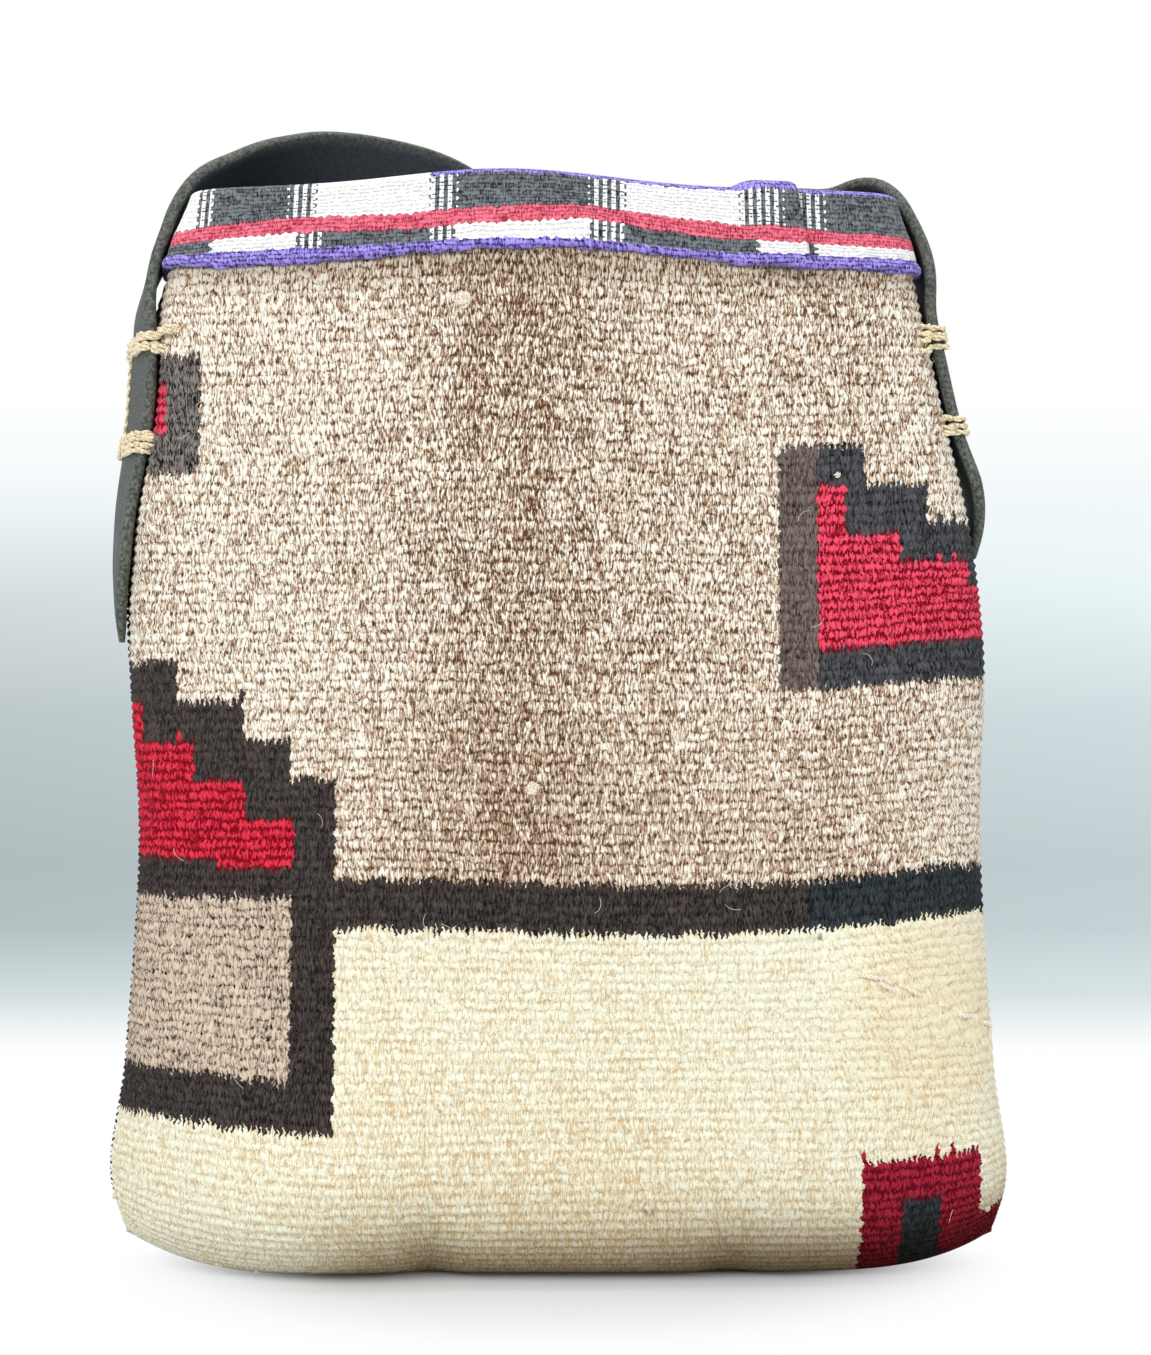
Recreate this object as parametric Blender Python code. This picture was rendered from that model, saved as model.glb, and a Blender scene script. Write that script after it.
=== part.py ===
"""Flat pouch handbag sewn from one folded piece of tapestry-woven rug.

A narrow woven band binds the mouth. A leather shoulder strap lies against both sides and is
lashed to them with waxed cord, and its slack hangs in a loop behind the bag.

Metres, Z up. The front faces -Y, the floor is z = 0 and x = 0 is the middle of the base.
Run with: blender --background --python part.py
"""

import math

import bmesh
import bpy
import numpy as np
from mathutils import Vector

# The bag
BAG_WIDTH = 0.2535
BAG_HEIGHT = 0.3000
BAG_DEPTH = 0.074
WALL = 0.004
MOUTH_WIDTH = 0.1945
MOUTH_DEPTH = 0.048
TOP_LEAN = 0.0060
RIM_CROWN = 0.0058
RIM_LEFT_RISE = 0.0010
BASE_ROUND = 0.028
BASE_FLAT_FRONT = 0.012
BASE_FLAT_BACK = 0.029
CORNER_LIFT = 0.0125
PILLOW = 0.007
TUCK = 0.0045

# The weave: one rib stands for a pair of warps
RIB_PITCH = 0.0055
RIB_RELIEF = 0.0009

# The mouth band
BAND_HEIGHT = 0.0192
BAND_THICKNESS = 0.0018
BAND_SWELL = 0.0002
BAND_LIP = 0.005

# The strap: its tails end this far below the rim
STRAP_WIDTH = 0.030
STRAP_THICKNESS = 0.0032
STRAP_POINT = 0.022
STRAP_DROP = 0.165
TAIL_LEFT = 0.123
TAIL_RIGHT = 0.108

# The lashings, at these depths below the rim
CORD_DIAMETER = 0.0013
LASH_TURNS = 3
LASH_LOWER_LEFT = 0.0665
LASH_UPPER_LEFT = 0.0385
LASH_LOWER_RIGHT = 0.0625
LASH_UPPER_RIGHT = 0.0375
HOLE_INSET = 0.005
STITCH_REACH = 0.0038
STRAP_TURN_PITCH = 0.0016
RUG_TURN_PITCH = 0.0024

# Clearances
SEAT_GAP = 0.0004
CORD_GAP = 0.0004

# Heights as shares of the bag's, with how far the width, depth and lean have gone there
WIDTH_STATIONS = ((0.0, 0.975), (0.05, 1.0), (0.2, 0.972), (0.4, 0.943), (0.6, 0.953), (0.72, 0.928))
NECK_STATIONS = ((0.80, 0.22), (0.89, 0.45), (0.94, 0.63))
DEPTH_STATIONS = ((0.0, 1.0), (0.1, 1.0), (0.3, 0.93), (0.6, 0.82), (0.8, 0.74))
LEAN_STATIONS = ((0.0, 0.0), (0.6, 0.2), (0.8, 0.8), (0.92, 1.0), (1.0, 0.70))
SQUARE_STATIONS = ((0.0, 2.6), (0.25, 2.8), (0.6, 3.2), (0.75, 4.0), (1.0, 4.0))

# Colours of the wool, the band, the leather and the cord (linear)
TAN = (0.47, 0.37, 0.28, 1.0)
CREAM = (0.83, 0.74, 0.55, 1.0)
BLACK = (0.045, 0.036, 0.032, 1.0)
RED = (0.56, 0.035, 0.065, 1.0)
CRIMSON = (0.27, 0.015, 0.03, 1.0)
PURPLE = (0.20, 0.13, 0.45, 1.0)
LEATHER = (0.055, 0.06, 0.05, 1.0)
CORD = (0.76, 0.62, 0.38, 1.0)


# Shape of the stuffed bag


def through(stations, share):
    """Value at this share of the height on a smooth curve through the stations."""
    at, value = np.array(stations).T
    slope = np.gradient(value, at)
    i = int(np.clip(np.searchsorted(at, share) - 1, 0, len(at) - 2))
    span = at[i + 1] - at[i]
    t = float(np.clip((share - at[i]) / span, 0.0, 1.0))
    a = (1 + 2 * t) * (1 - t) ** 2 * value[i] + t * (1 - t) ** 2 * span * slope[i]
    b = t * t * (3 - 2 * t) * value[i + 1] - t * t * (1 - t) * span * slope[i + 1]
    return float(a + b)


def half_width(z):
    """Half the bag's width at height z: full below, drawn in to the mouth above."""
    neck = WIDTH_STATIONS[-1][1] * BAG_WIDTH
    stations = [(h, w * BAG_WIDTH) for h, w in WIDTH_STATIONS]
    stations += [(h, neck + (MOUTH_WIDTH - neck) * w) for h, w in NECK_STATIONS]
    stations.append((1.0, MOUTH_WIDTH))
    return through(stations, z / BAG_HEIGHT) / 2


def half_depth(z):
    """Half the bag's depth from front to back at height z."""
    stations = [(h, d * BAG_DEPTH) for h, d in DEPTH_STATIONS]
    stations.append((1.0, MOUTH_DEPTH))
    return through(stations, z / BAG_HEIGHT) / 2


def centre_x(z):
    """The bag leans a little to the left towards its mouth."""
    return -TOP_LEAN * through(LEAN_STATIONS, z / BAG_HEIGHT)


def squareness(z):
    """Exponent of the oval section: boxier where the strap holds the sides flat."""
    return through(SQUARE_STATIONS, z / BAG_HEIGHT)


def mound(x, z, at_x, at_z, wide, high):
    """A soft round bump of height 1 at (at_x, at_z)."""
    return math.exp(-(((x - at_x) / wide) ** 2) - ((z - at_z) / high) ** 2)


def front_swell(x, z):
    """How far the front panel stands out: the pillow of the lower left corner, and the tuck beside it."""
    pillow = PILLOW * mound(x, z, -0.30 * BAG_WIDTH, 0.09 * BAG_HEIGHT, 0.15 * BAG_WIDTH, 0.10 * BAG_HEIGHT)
    tuck = TUCK * mound(x, z, -0.145 * BAG_WIDTH, 0.02 * BAG_HEIGHT, 0.035 * BAG_WIDTH, 0.03 * BAG_HEIGHT)
    return pillow - tuck


def rim_rise(xi, side):
    """The rim stands higher at the left end than at the right, and highest left of its middle."""
    crown = RIM_CROWN * math.exp(-(((xi + 0.12) / 0.48) ** 2)) * (1.0 if side < 0 else 0.6)
    return crown + RIM_LEFT_RISE * ((1 - xi) / 2) ** 3


def rim_lift(xi, side, z):
    """How far the rim's rise lifts the wall at height z."""
    top = max(0.0, z / BAG_HEIGHT - 0.6) / 0.4
    return top * top * rim_rise(xi, side)


def wall_point(xi, side, z, depth=0.0, share=1.0):
    """A point of the wall at height z.

    xi runs from -1 at the left side to 1 at the right, side is -1 on the front and 1 on the back.
    depth is how far it lies inside the outer skin, and share how far it is out from the middle plane.
    """
    power = squareness(z)
    x = centre_x(z) + (half_width(z) - depth) * xi
    y = share * (half_depth(z) - depth) * (1 - abs(xi) ** power) ** (1 / power)
    if side < 0:
        y += share * front_swell(x, z) * (1 - abs(xi) ** 8)
    corner = max(0.0, (abs(xi) - 0.55) / 0.45) ** 3
    low = max(0.0, 1 - z / (0.2 * BAG_HEIGHT)) ** 2
    lift = corner * low * CORNER_LIFT * (0.7 + 0.3 * share)
    return Vector((x, side * y, z + lift + rim_lift(xi, side, z)))


def flat_share(side):
    """How far out the flat of the base reaches on the front (-1) or the back (1): the bag sits back on it."""
    return (BASE_FLAT_FRONT if side < 0 else BASE_FLAT_BACK) / (BAG_DEPTH / 2)


def base_point(xi, side, turn, depth=0.0):
    """A point of the rounded base: turn is 0 where it leaves the floor and 1 where the wall starts."""
    flat = flat_share(side)
    angle = turn * math.pi / 2
    share = flat + (1 - flat) * math.sin(angle)
    z = depth + (BASE_ROUND - depth) * (1 - math.cos(angle))
    return wall_point(xi, side, z, depth, share)


def side_x(side, z, depth=0.0):
    """x of the bag's left (-1) or right (1) side at height z."""
    level = z - rim_lift(side, -1, z)
    return centre_x(level) + side * (half_width(level) - depth)


# Design: x edges and heights of its fields in metres, where the bag is DESIGN_HALF_WIDTH wide each way


DESIGN_HALF_WIDTH = 0.121
MOTIF_STEP_X = 0.0145
MOTIF_STEP_Z = 0.0115
BAR_LOW, BAR_HIGH = 0.0970, 0.1106
LEFT_BAR_X = (-0.0770, -0.0645)
RIGHT_BAR_X = (0.0625, 0.0740)


def design_fields():
    """(x0, x1, z0, z1, colour name) from the ground up: later fields lie over earlier ones."""
    edge = BAG_WIDTH
    fields = [(-edge, edge, -1.0, BAR_LOW, "cream"), (-edge, edge, BAR_LOW, BAR_HIGH, "black")]
    fields.append((-edge, LEFT_BAR_X[1], 0.0445, 0.1385, "black"))
    fields.append((-edge, LEFT_BAR_X[0], 0.0572, 0.1040, "tan"))
    left_top = 0.172
    for n in range(3):
        x = -0.108 + MOTIF_STEP_X * n
        z = left_top - MOTIF_STEP_Z * n
        fields.append((-edge, x, 0.104, z, "black"))
    for n in range(3):
        x = -0.104 + MOTIF_STEP_X * n
        z = left_top - MOTIF_STEP_Z * (n + 1.9)
        fields.append((-edge, x, 0.1150, z, "red"))
    fields.append((RIGHT_BAR_X[0], edge, 0.1635, 0.212, "black"))
    fields.append((RIGHT_BAR_X[0], 0.1046, 0.1635, 0.222, "black"))
    fields.append((RIGHT_BAR_X[0], 0.0869, 0.1635, 0.2335, "black"))
    fields.append((RIGHT_BAR_X[1], edge, 0.1755, 0.2000, "red"))
    fields.append((RIGHT_BAR_X[1], 0.098, 0.1755, 0.2100, "red"))
    fields.append((-edge, -0.1034, 0.225, 0.260, "black"))
    fields.append((-edge, -0.1110, 0.237, 0.250, "red"))
    fields.append((0.0867, edge, -1.0, 0.0353, "crimson"))
    fields.append((0.0983, 0.1089, -1.0, 0.0240, "black"))
    return fields


# Columns of the panels follow the design's upright edges, then close up towards the sides
SIDE_COLUMNS = (0.955, 0.99, 1.0)
FRONT_COLUMNS = (-0.87, -0.745, -0.635, -0.534, -0.2, 0.2, 0.517, 0.61, 0.718, 0.812, 0.90)
COLUMNS = tuple(-c for c in reversed(SIDE_COLUMNS)) + FRONT_COLUMNS + SIDE_COLUMNS


# Helpers


def material(name, colour, roughness):
    """A matt Principled material."""
    made = bpy.data.materials.new(name)
    made.use_nodes = True
    shader = made.node_tree.nodes["Principled BSDF"]
    shader.inputs["Base Color"].default_value = colour
    shader.inputs["Roughness"].default_value = roughness
    shader.inputs["Metallic"].default_value = 0.0
    made.diffuse_color = colour
    return made


def mesh_object(name, points, faces, materials):
    """An object of these points and faces, with its faces turned outwards."""
    mesh = bpy.data.meshes.new(name)
    work = bmesh.new()
    verts = [work.verts.new(p) for p in points]
    for face in faces:
        work.faces.new([verts[i] for i in face])
    bmesh.ops.recalc_face_normals(work, faces=work.faces)
    work.to_mesh(mesh)
    work.free()
    made = bpy.data.objects.new(name, mesh)
    bpy.context.scene.collection.objects.link(made)
    for slot in materials:
        mesh.materials.append(slot)
    return made


def box_points(centre, along, across, up, sizes):
    """The eight corners of a box with these three directions and full sizes."""
    corners = []
    for a in (-0.5, 0.5):
        for b in (-0.5, 0.5):
            for c in (-0.5, 0.5):
                corners.append(centre + along * (a * sizes[0]) + across * (b * sizes[1]) + up * (c * sizes[2]))
    return corners


BOX_FACES = ((0, 1, 3, 2), (4, 6, 7, 5), (0, 4, 5, 1), (2, 3, 7, 6), (0, 2, 6, 4), (1, 5, 7, 3))


def cutter_object(name, boxes):
    """One hidden object of several boxes, for a Boolean to cut with."""
    points = []
    faces = []
    for corners in boxes:
        start = len(points)
        points += corners
        faces += [tuple(start + i for i in face) for face in BOX_FACES]
    made = mesh_object(name, points, faces, [])
    made.hide_render = True
    made.display_type = "WIRE"
    return made


def cut(target, cutter):
    """Cuts the boxes out of the target."""
    change = target.modifiers.new("slots", "BOOLEAN")
    change.operation = "DIFFERENCE"
    change.solver = "EXACT"
    change.object = cutter


# The bag


def ring(points, row):
    """Adds the front and back points of one row as a loop round the bag, and returns their numbers."""
    start = len(points)
    front = [(xi, -1) for xi in COLUMNS]
    back = [(xi, 1) for xi in reversed(COLUMNS[1:-1])]
    for xi, side in front + back:
        points.append(row(xi, side))
    return list(range(start, len(points)))


def join_rings(faces, low, high):
    """Joins two loops of the same count with a belt of faces."""
    count = len(low)
    for i in range(count):
        j = (i + 1) % count
        faces.append((low[i], low[j], high[j], high[i]))


def join_fold(faces, fold, first):
    """Joins the line of the fold to the first loop above it, on the front and on the back."""
    last = len(fold) - 1
    count = len(first)
    for i in range(last):
        faces.append((fold[i], fold[i + 1], first[i + 1], first[i]))
        a = (count - i) % count
        b = count - i - 1
        faces.append((fold[i], first[a], first[b], fold[i + 1]))


def fold_line(points, depth):
    """Adds the line of the fold under the bag, and returns its points' numbers."""
    start = len(points)
    for xi in COLUMNS:
        points.append(wall_point(xi, 1, depth, depth, 0.0))
    return list(range(start, len(points)))


def rib_heights():
    """Heights of the rib crests and valleys on the wall, up to just under the band."""
    half = RIB_PITCH / 2
    top = BAG_HEIGHT - BAND_HEIGHT - RIB_PITCH / 2
    count = int((top - BASE_ROUND) / half)
    return [BASE_ROUND + half * (n + 1) for n in range(count)]


def make_bag(wool):
    """The folded and sewn rug piece: a ribbed outer skin, a plain inner one and an open mouth."""
    points = []
    faces = []
    outer_fold = fold_line(points, 0.0)
    rows = [ring(points, lambda xi, side: wall_point(xi, side, 0.0, 0.0, 0.5 * flat_share(side)))]
    rows.append(ring(points, lambda xi, side: base_point(xi, side, 0.0)))
    reach = BAG_DEPTH / 2 - BASE_FLAT_FRONT
    arc = math.pi / 2 * math.sqrt((reach**2 + BASE_ROUND**2) / 2)
    turns = 2 * round(arc / RIB_PITCH)
    for n in range(1, turns + 1):
        relief = RIB_RELIEF / 2 * (-1) ** n * min(1.0, n / 4)
        rows.append(ring(points, lambda xi, side, r=relief, t=n / turns: base_point(xi, side, t, r)))
    for n, z in enumerate(rib_heights()):
        relief = RIB_RELIEF / 2 * (-1) ** (n + 1)
        rows.append(ring(points, lambda xi, side, r=relief, h=z: wall_point(xi, side, h, r)))
    band_foot = BAG_HEIGHT - BAND_HEIGHT
    shoulder = BAG_HEIGHT - WALL * 0.3
    for z in (band_foot, (band_foot + shoulder) / 2, shoulder):
        rows.append(ring(points, lambda xi, side, h=z: wall_point(xi, side, h)))
    rows.append(ring(points, lambda xi, side: wall_point(xi, side, BAG_HEIGHT, WALL / 2)))
    for z in np.linspace(shoulder, BASE_ROUND, 13):
        rows.append(ring(points, lambda xi, side, h=z: wall_point(xi, side, h, WALL)))
    for turn in (0.66, 0.33, 0.0):
        rows.append(ring(points, lambda xi, side, t=turn: base_point(xi, side, t, WALL)))
    inner_fold = fold_line(points, WALL)
    join_fold(faces, outer_fold, rows[0])
    for low, high in zip(rows, rows[1:]):
        join_rings(faces, low, high)
    join_fold(faces, inner_fold, rows[-1])
    bag = mesh_object("bag_body", points, faces, list(wool.values()))
    colour_fields(bag, list(wool))
    return bag


def colour_fields(bag, names):
    """Gives each face the colour of the field that it lies in."""
    fields = design_fields()
    for face in bag.data.polygons:
        z = face.center.z
        x = (face.center.x - centre_x(z)) / half_width(z) * DESIGN_HALF_WIDTH
        name = "tan"
        for x0, x1, z0, z1, colour in fields:
            if x0 <= x <= x1 and z0 <= z <= z1:
                name = colour
        face.material_index = names.index(name)


# The mouth band


def band_section(extra):
    """The band's closed section as (height over the rim, depth) pairs: it hooks over the rim.

    extra lifts the lapped end clear of the end that it covers.
    """
    near = SEAT_GAP + extra
    far = near + BAND_THICKNESS
    top = SEAT_GAP + extra
    return [
        (-BAND_HEIGHT, -near),
        (-BAND_HEIGHT / 2, -near),
        (top * 0.5, -near),
        (top, WALL * 0.3),
        (top, WALL * 0.7),
        (top * 0.5, WALL + near),
        (-BAND_LIP, WALL + near),
        (-BAND_LIP, WALL + far),
        (top * 0.5, WALL + far),
        (top + BAND_THICKNESS, WALL * 0.7),
        (top + BAND_THICKNESS, WALL * 0.3),
        (top * 0.5, -far),
        (-BAND_HEIGHT * 0.30, -far - BAND_SWELL),
        (-BAND_HEIGHT * 0.46, -far + BAND_SWELL),
        (-BAND_HEIGHT * 0.55, -far - BAND_SWELL / 2),
        (-BAND_HEIGHT * 0.64, -far + BAND_SWELL),
        (-BAND_HEIGHT * 0.84, -far - BAND_SWELL / 2),
        (-BAND_HEIGHT, -far + BAND_SWELL),
    ]


def band_stations():
    """(xi, side, extra) round the mouth, from the covered end on the front right to the end over it."""
    covered = COLUMNS.index(0.61)
    cover = COLUMNS.index(0.718)
    lapped = SEAT_GAP + BAND_THICKNESS
    stations = [(xi, -1, 0.0) for xi in COLUMNS[covered:]]
    stations += [(xi, 1, 0.0) for xi in reversed(COLUMNS[1:-1])]
    stations += [(xi, -1, 0.0) for xi in COLUMNS[:covered]]
    stations += [(xi, -1, lapped) for xi in COLUMNS[covered : cover + 1]]
    return stations


def band_point(xi, side, height, depth):
    """A point of the band, height over the rim and depth inside the bag's outer skin."""
    z = min(BAG_HEIGHT + height, BAG_HEIGHT)
    point = wall_point(xi, side, z, depth)
    point.z += max(height, 0.0)
    return point


# Where the band's blocks change between dark and light, as xi; its lower zone has them the other way about
BAND_BLOCKS = (-0.955, -0.635, -0.2, 0.2, 0.61, 0.718, 0.812)


def colour_band(band, names):
    """Purple edges, two zones of dark and light blocks, and a red stripe between them."""
    count = len(band_section(0.0))
    for face in band.data.polygons[: count * (len(band_stations()) - 1)]:
        place = face.index % count
        xi = (face.center.x - centre_x(BAG_HEIGHT)) / (MOUTH_WIDTH / 2)
        dark = sum(xi > edge for edge in BAND_BLOCKS) % 2 == 1
        name = "band_purple"
        if place in (11, 12):
            name = "band_black" if dark else "band_white"
        elif place in (13, 14):
            name = "band_red"
        elif place == 15:
            name = "band_white" if dark else "band_black"
        face.material_index = names.index(name)


def make_band(cloth):
    """One strip folded over the rim, its left end lapped over its right end."""
    points = []
    faces = []
    loops = []
    for xi, side, extra in band_stations():
        start = len(points)
        points += [band_point(xi, side, h, d) for h, d in band_section(extra)]
        loops.append(list(range(start, len(points))))
    for low, high in zip(loops, loops[1:]):
        join_rings(faces, low, high)
    faces.append(tuple(reversed(loops[0])))
    faces.append(tuple(loops[-1]))
    band = mesh_object("mouth_band", points, faces, list(cloth.values()))
    colour_band(band, list(cloth))
    return band


# The strap


def band_cover(z):
    """How much of the band's thickness the strap has to clear at height z."""
    t = (z - (BAG_HEIGHT - BAND_HEIGHT - 0.012)) / 0.010
    t = min(max(t, 0.0), 1.0)
    return (SEAT_GAP + BAND_THICKNESS + BAND_SWELL) * t * t * (3 - 2 * t)


def strap_offset(z):
    """From the bag's outer skin to the strap's middle plane."""
    return RIB_RELIEF / 2 + SEAT_GAP + band_cover(z) + STRAP_THICKNESS / 2


def side_centre(side, z):
    """The strap's centreline on the bag's side at height z."""
    return Vector((side_x(side, z) + side * strap_offset(z), 0.0, z))


# Where the slack goes: (x as a share of half the mouth, y behind the mouth's middle, height over the rim,
# lean in degrees: 0 has the front edge towards the front, 90 has it on top)
LEFT_ARCH = (
    (-1.097, 0.0010, -0.0075, 1.0),
    (-1.065, 0.0020, 0.0000, 3.0),
    (-1.020, 0.0060, 0.0060, 7.0),
    (-0.950, 0.0120, 0.0094, 22.0),
    (-0.859, 0.0175, 0.0111, 42.0),
    (-0.773, 0.0225, 0.0119, 58.0),
    (-0.680, 0.0275, 0.0130, 72.0),
    (-0.490, 0.0340, 0.0120, 86.0),
    (-0.290, 0.0385, 0.0062, 96.0),
    (-0.110, 0.0420, -0.0080, 112.0),
    (0.010, 0.0460, -0.0300, 132.0),
)
RIGHT_ARCH = (
    (0.557, 0.0435, -0.0320, 126.0),
    (0.588, 0.0410, -0.0190, 106.0),
    (0.660, 0.0375, -0.0080, 80.0),
    (0.758, 0.0335, -0.0022, 56.0),
    (0.830, 0.0290, 0.0010, 40.0),
    (0.883, 0.0252, 0.0028, 26.0),
    (0.933, 0.0210, 0.0042, 14.0),
    (0.982, 0.0162, 0.0046, 5.0),
    (1.024, 0.0116, 0.0028, 1.0),
    (1.057, 0.0076, -0.0015, 0.0),
    (1.083, 0.0042, -0.0075, 0.0),
    (1.107, 0.0015, -0.0140, 0.0),
)
DROOP_LEFT, DROOP_RIGHT = 0.06, 0.50


def droop_points():
    """The loop that hangs behind the back panel, between the two arches: two legs and a round turn."""
    middle = (DROOP_LEFT + DROOP_RIGHT) / 2
    reach = (DROOP_RIGHT - DROOP_LEFT) / 2
    radius = reach * MOUTH_WIDTH / 2
    behind = BAG_DEPTH / 2 + STRAP_WIDTH / 2 + 0.001
    leg = -(STRAP_DROP - radius) * 0.62
    route = [(DROOP_LEFT - 0.02, behind - 0.002, leg, 150.0)]
    for angle in (185, 225, 270, 315, 355):
        turn = math.radians(angle)
        route.append((middle + reach * math.cos(turn), behind, -STRAP_DROP + radius * (1 + math.sin(turn)), 165.0))
    route.append((DROOP_RIGHT + 0.01, behind - 0.002, leg, 150.0))
    return route


SIDE_SPACING = 0.009
STRAP_SPACING = 0.0075


def strap_route():
    """Centre points of the strap from the left tail's end to the right's, each with a lean."""
    mouth = MOUTH_WIDTH / 2
    route = []
    left_top, right_top = BAG_HEIGHT - 0.016, BAG_HEIGHT - 0.021
    tail = BAG_HEIGHT - TAIL_LEFT
    for z in np.linspace(tail, left_top, round((left_top - tail) / SIDE_SPACING)):
        route.append((side_centre(-1, z), 0.0))
    for share, y, over, lean in LEFT_ARCH + tuple(droop_points()) + RIGHT_ARCH:
        x = centre_x(BAG_HEIGHT) + share * mouth
        route.append((Vector((x, y, BAG_HEIGHT + over)), lean))
    tail = BAG_HEIGHT - TAIL_RIGHT
    for z in np.linspace(right_top, tail, round((right_top - tail) / SIDE_SPACING)):
        route.append((side_centre(1, z), 0.0))
    return route


def smooth_route(route, spacing):
    """A smooth curve through the route, with its leans, sampled at about this spacing."""
    places = np.array([(*point, lean) for point, lean in route])
    steps = np.linalg.norm(np.diff(places[:, :3], axis=0), axis=1)
    at = np.concatenate([[0.0], np.cumsum(steps)])
    slope = np.gradient(places, at, axis=0)
    samples = []
    for run in np.linspace(0.0, at[-1], round(at[-1] / spacing) + 1):
        i = int(np.clip(np.searchsorted(at, run) - 1, 0, len(at) - 2))
        span = at[i + 1] - at[i]
        t = (run - at[i]) / span
        value = (1 + 2 * t) * (1 - t) ** 2 * places[i] + t * (1 - t) ** 2 * span * slope[i]
        value = value + t * t * (3 - 2 * t) * places[i + 1] - t * t * (1 - t) * span * slope[i + 1]
        samples.append((Vector(value[:3]), float(value[3])))
    return samples


def strap_frames():
    """(centre, direction of the front edge, outward normal) along the strap."""
    samples = smooth_route(strap_route(), STRAP_SPACING)
    frames = []
    for i, (centre, lean) in enumerate(samples):
        before = samples[max(i - 1, 0)][0]
        after = samples[min(i + 1, len(samples) - 1)][0]
        along = (after - before).normalized()
        edge = Vector((0.0, -math.cos(math.radians(lean)), math.sin(math.radians(lean))))
        edge = (edge - along * edge.dot(along)).normalized()
        frames.append((centre, edge, edge.cross(along)))
    return frames


def strap_half_width(distance):
    """Half the strap's width at this distance from its nearer end: the tails come to a blunt point."""
    if distance >= STRAP_POINT:
        return STRAP_WIDTH / 2
    return STRAP_WIDTH / 2 * (0.16 + 0.84 * distance / STRAP_POINT)


def make_strap(leather):
    """One leather strip, swept along its route with softened long edges."""
    frames = strap_frames()
    lengths = [0.0]
    for (a, _, _), (b, _, _) in zip(frames, frames[1:]):
        lengths.append(lengths[-1] + (b - a).length)
    points = []
    faces = []
    loops = []
    half = STRAP_THICKNESS / 2
    soft = STRAP_THICKNESS * 0.28
    for (centre, edge, normal), run in zip(frames, lengths):
        wide = strap_half_width(min(run, lengths[-1] - run))
        section = [
            (wide, half - soft),
            (wide - soft, half),
            (soft - wide, half),
            (-wide, half - soft),
            (-wide, soft - half),
            (soft - wide, -half),
            (wide - soft, -half),
            (wide, soft - half),
        ]
        start = len(points)
        points += [centre + edge * u + normal * v for u, v in section]
        loops.append(list(range(start, len(points))))
    for low, high in zip(loops, loops[1:]):
        join_rings(faces, low, high)
    faces.append(tuple(reversed(loops[0])))
    faces.append(tuple(loops[-1]))
    return mesh_object("shoulder_strap", points, faces, [leather])


# The lashings


def stitch_xi(side, z):
    """The column, as xi, where the cord enters the rug panel beside the strap's edge."""
    level = half_depth(z)
    power = squareness(z)
    flush = (1 - min(STRAP_WIDTH / 2 / level, 0.999) ** power) ** (1 / power)
    return side * (flush - STITCH_REACH / half_width(z))


def turn_heights(z, n):
    """Heights of the nth turn at the strap's hole and at the rug, about the lashing's middle z."""
    step = n - (LASH_TURNS - 1) / 2
    return z + step * STRAP_TURN_PITCH, z + step * RUG_TURN_PITCH


def hole_place(side, edge):
    """y of the strap's holes: edge is -1 for the front row and 1 for the back row."""
    return edge * (STRAP_WIDTH / 2 - HOLE_INSET)


def rug_passage(side, edge, z):
    """Where the cord goes through the rug panel at height z: its places just outside and just inside."""
    off = CORD_GAP + CORD_DIAMETER / 2
    xi = stitch_xi(side, z)
    outside = wall_point(xi, edge, z, -(RIB_RELIEF / 2 + off))
    return outside, wall_point(xi, edge, z, WALL + off)


def lashing_turn(side, edge, z, n):
    """Points of one turn: out of the strap's hole, round its edge, into the rug and back inside."""
    z_hole, z_rug = turn_heights(z, n)
    off = CORD_GAP + CORD_DIAMETER / 2
    centre = side_centre(side, z_hole)
    y_hole = hole_place(side, edge)
    y_edge = edge * (STRAP_WIDTH / 2 + off)
    x_out = centre.x + side * (STRAP_THICKNESS / 2 + off)
    z_mid = (z_hole + z_rug) / 2
    outside, inside = rug_passage(side, edge, z_rug)
    rise = STRAP_TURN_PITCH / 3
    back = Vector((side_x(side, z_hole, WALL + off + 0.0018), y_hole, z_hole + rise))
    return [
        Vector((x_out, y_hole, z_hole)),
        Vector((x_out, (y_hole + y_edge) / 2, z_hole)),
        Vector((x_out - side * off * 0.4, y_edge - edge * off * 0.4, z_hole)),
        Vector((centre.x, y_edge, z_mid)),
        Vector((centre.x - side * STRAP_THICKNESS / 2, y_edge + edge * 0.0006, z_mid)),
        outside + Vector((side * 0.0012, edge * 0.0002, 0.0)),
        outside.lerp(inside, 0.12),
        inside,
        inside.lerp(back, 0.35),
        back,
    ]


def face_run(side, edge, low, high):
    """The cord between its two lashings, along the strap's outer face."""
    off = CORD_GAP + CORD_DIAMETER / 2
    start = turn_heights(low, LASH_TURNS)[0]
    end = turn_heights(high, 0)[0]
    run = []
    for z in np.linspace(start, end, 6)[:-1]:
        x = side_centre(side, z).x + side * (STRAP_THICKNESS / 2 + off)
        run.append(Vector((x, hole_place(side, edge), z)))
    return run


def lashing_route(side, edge, low, high):
    """The whole cord of one edge: its lower turns, the run up the strap's face and its upper turns."""
    first = lashing_turn(side, edge, low, 0)[-1]
    route = [first + Vector((-side * 0.004, 0.0, -STRAP_TURN_PITCH)), first + Vector((0.0, 0.0, -STRAP_TURN_PITCH * 0.5))]
    for n in range(LASH_TURNS):
        route += lashing_turn(side, edge, low, n)
    route += face_run(side, edge, low, high)
    for n in range(LASH_TURNS):
        route += lashing_turn(side, edge, high, n)
    return route + [route[-1] + Vector((-side * 0.004, 0.0, STRAP_TURN_PITCH))]


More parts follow.
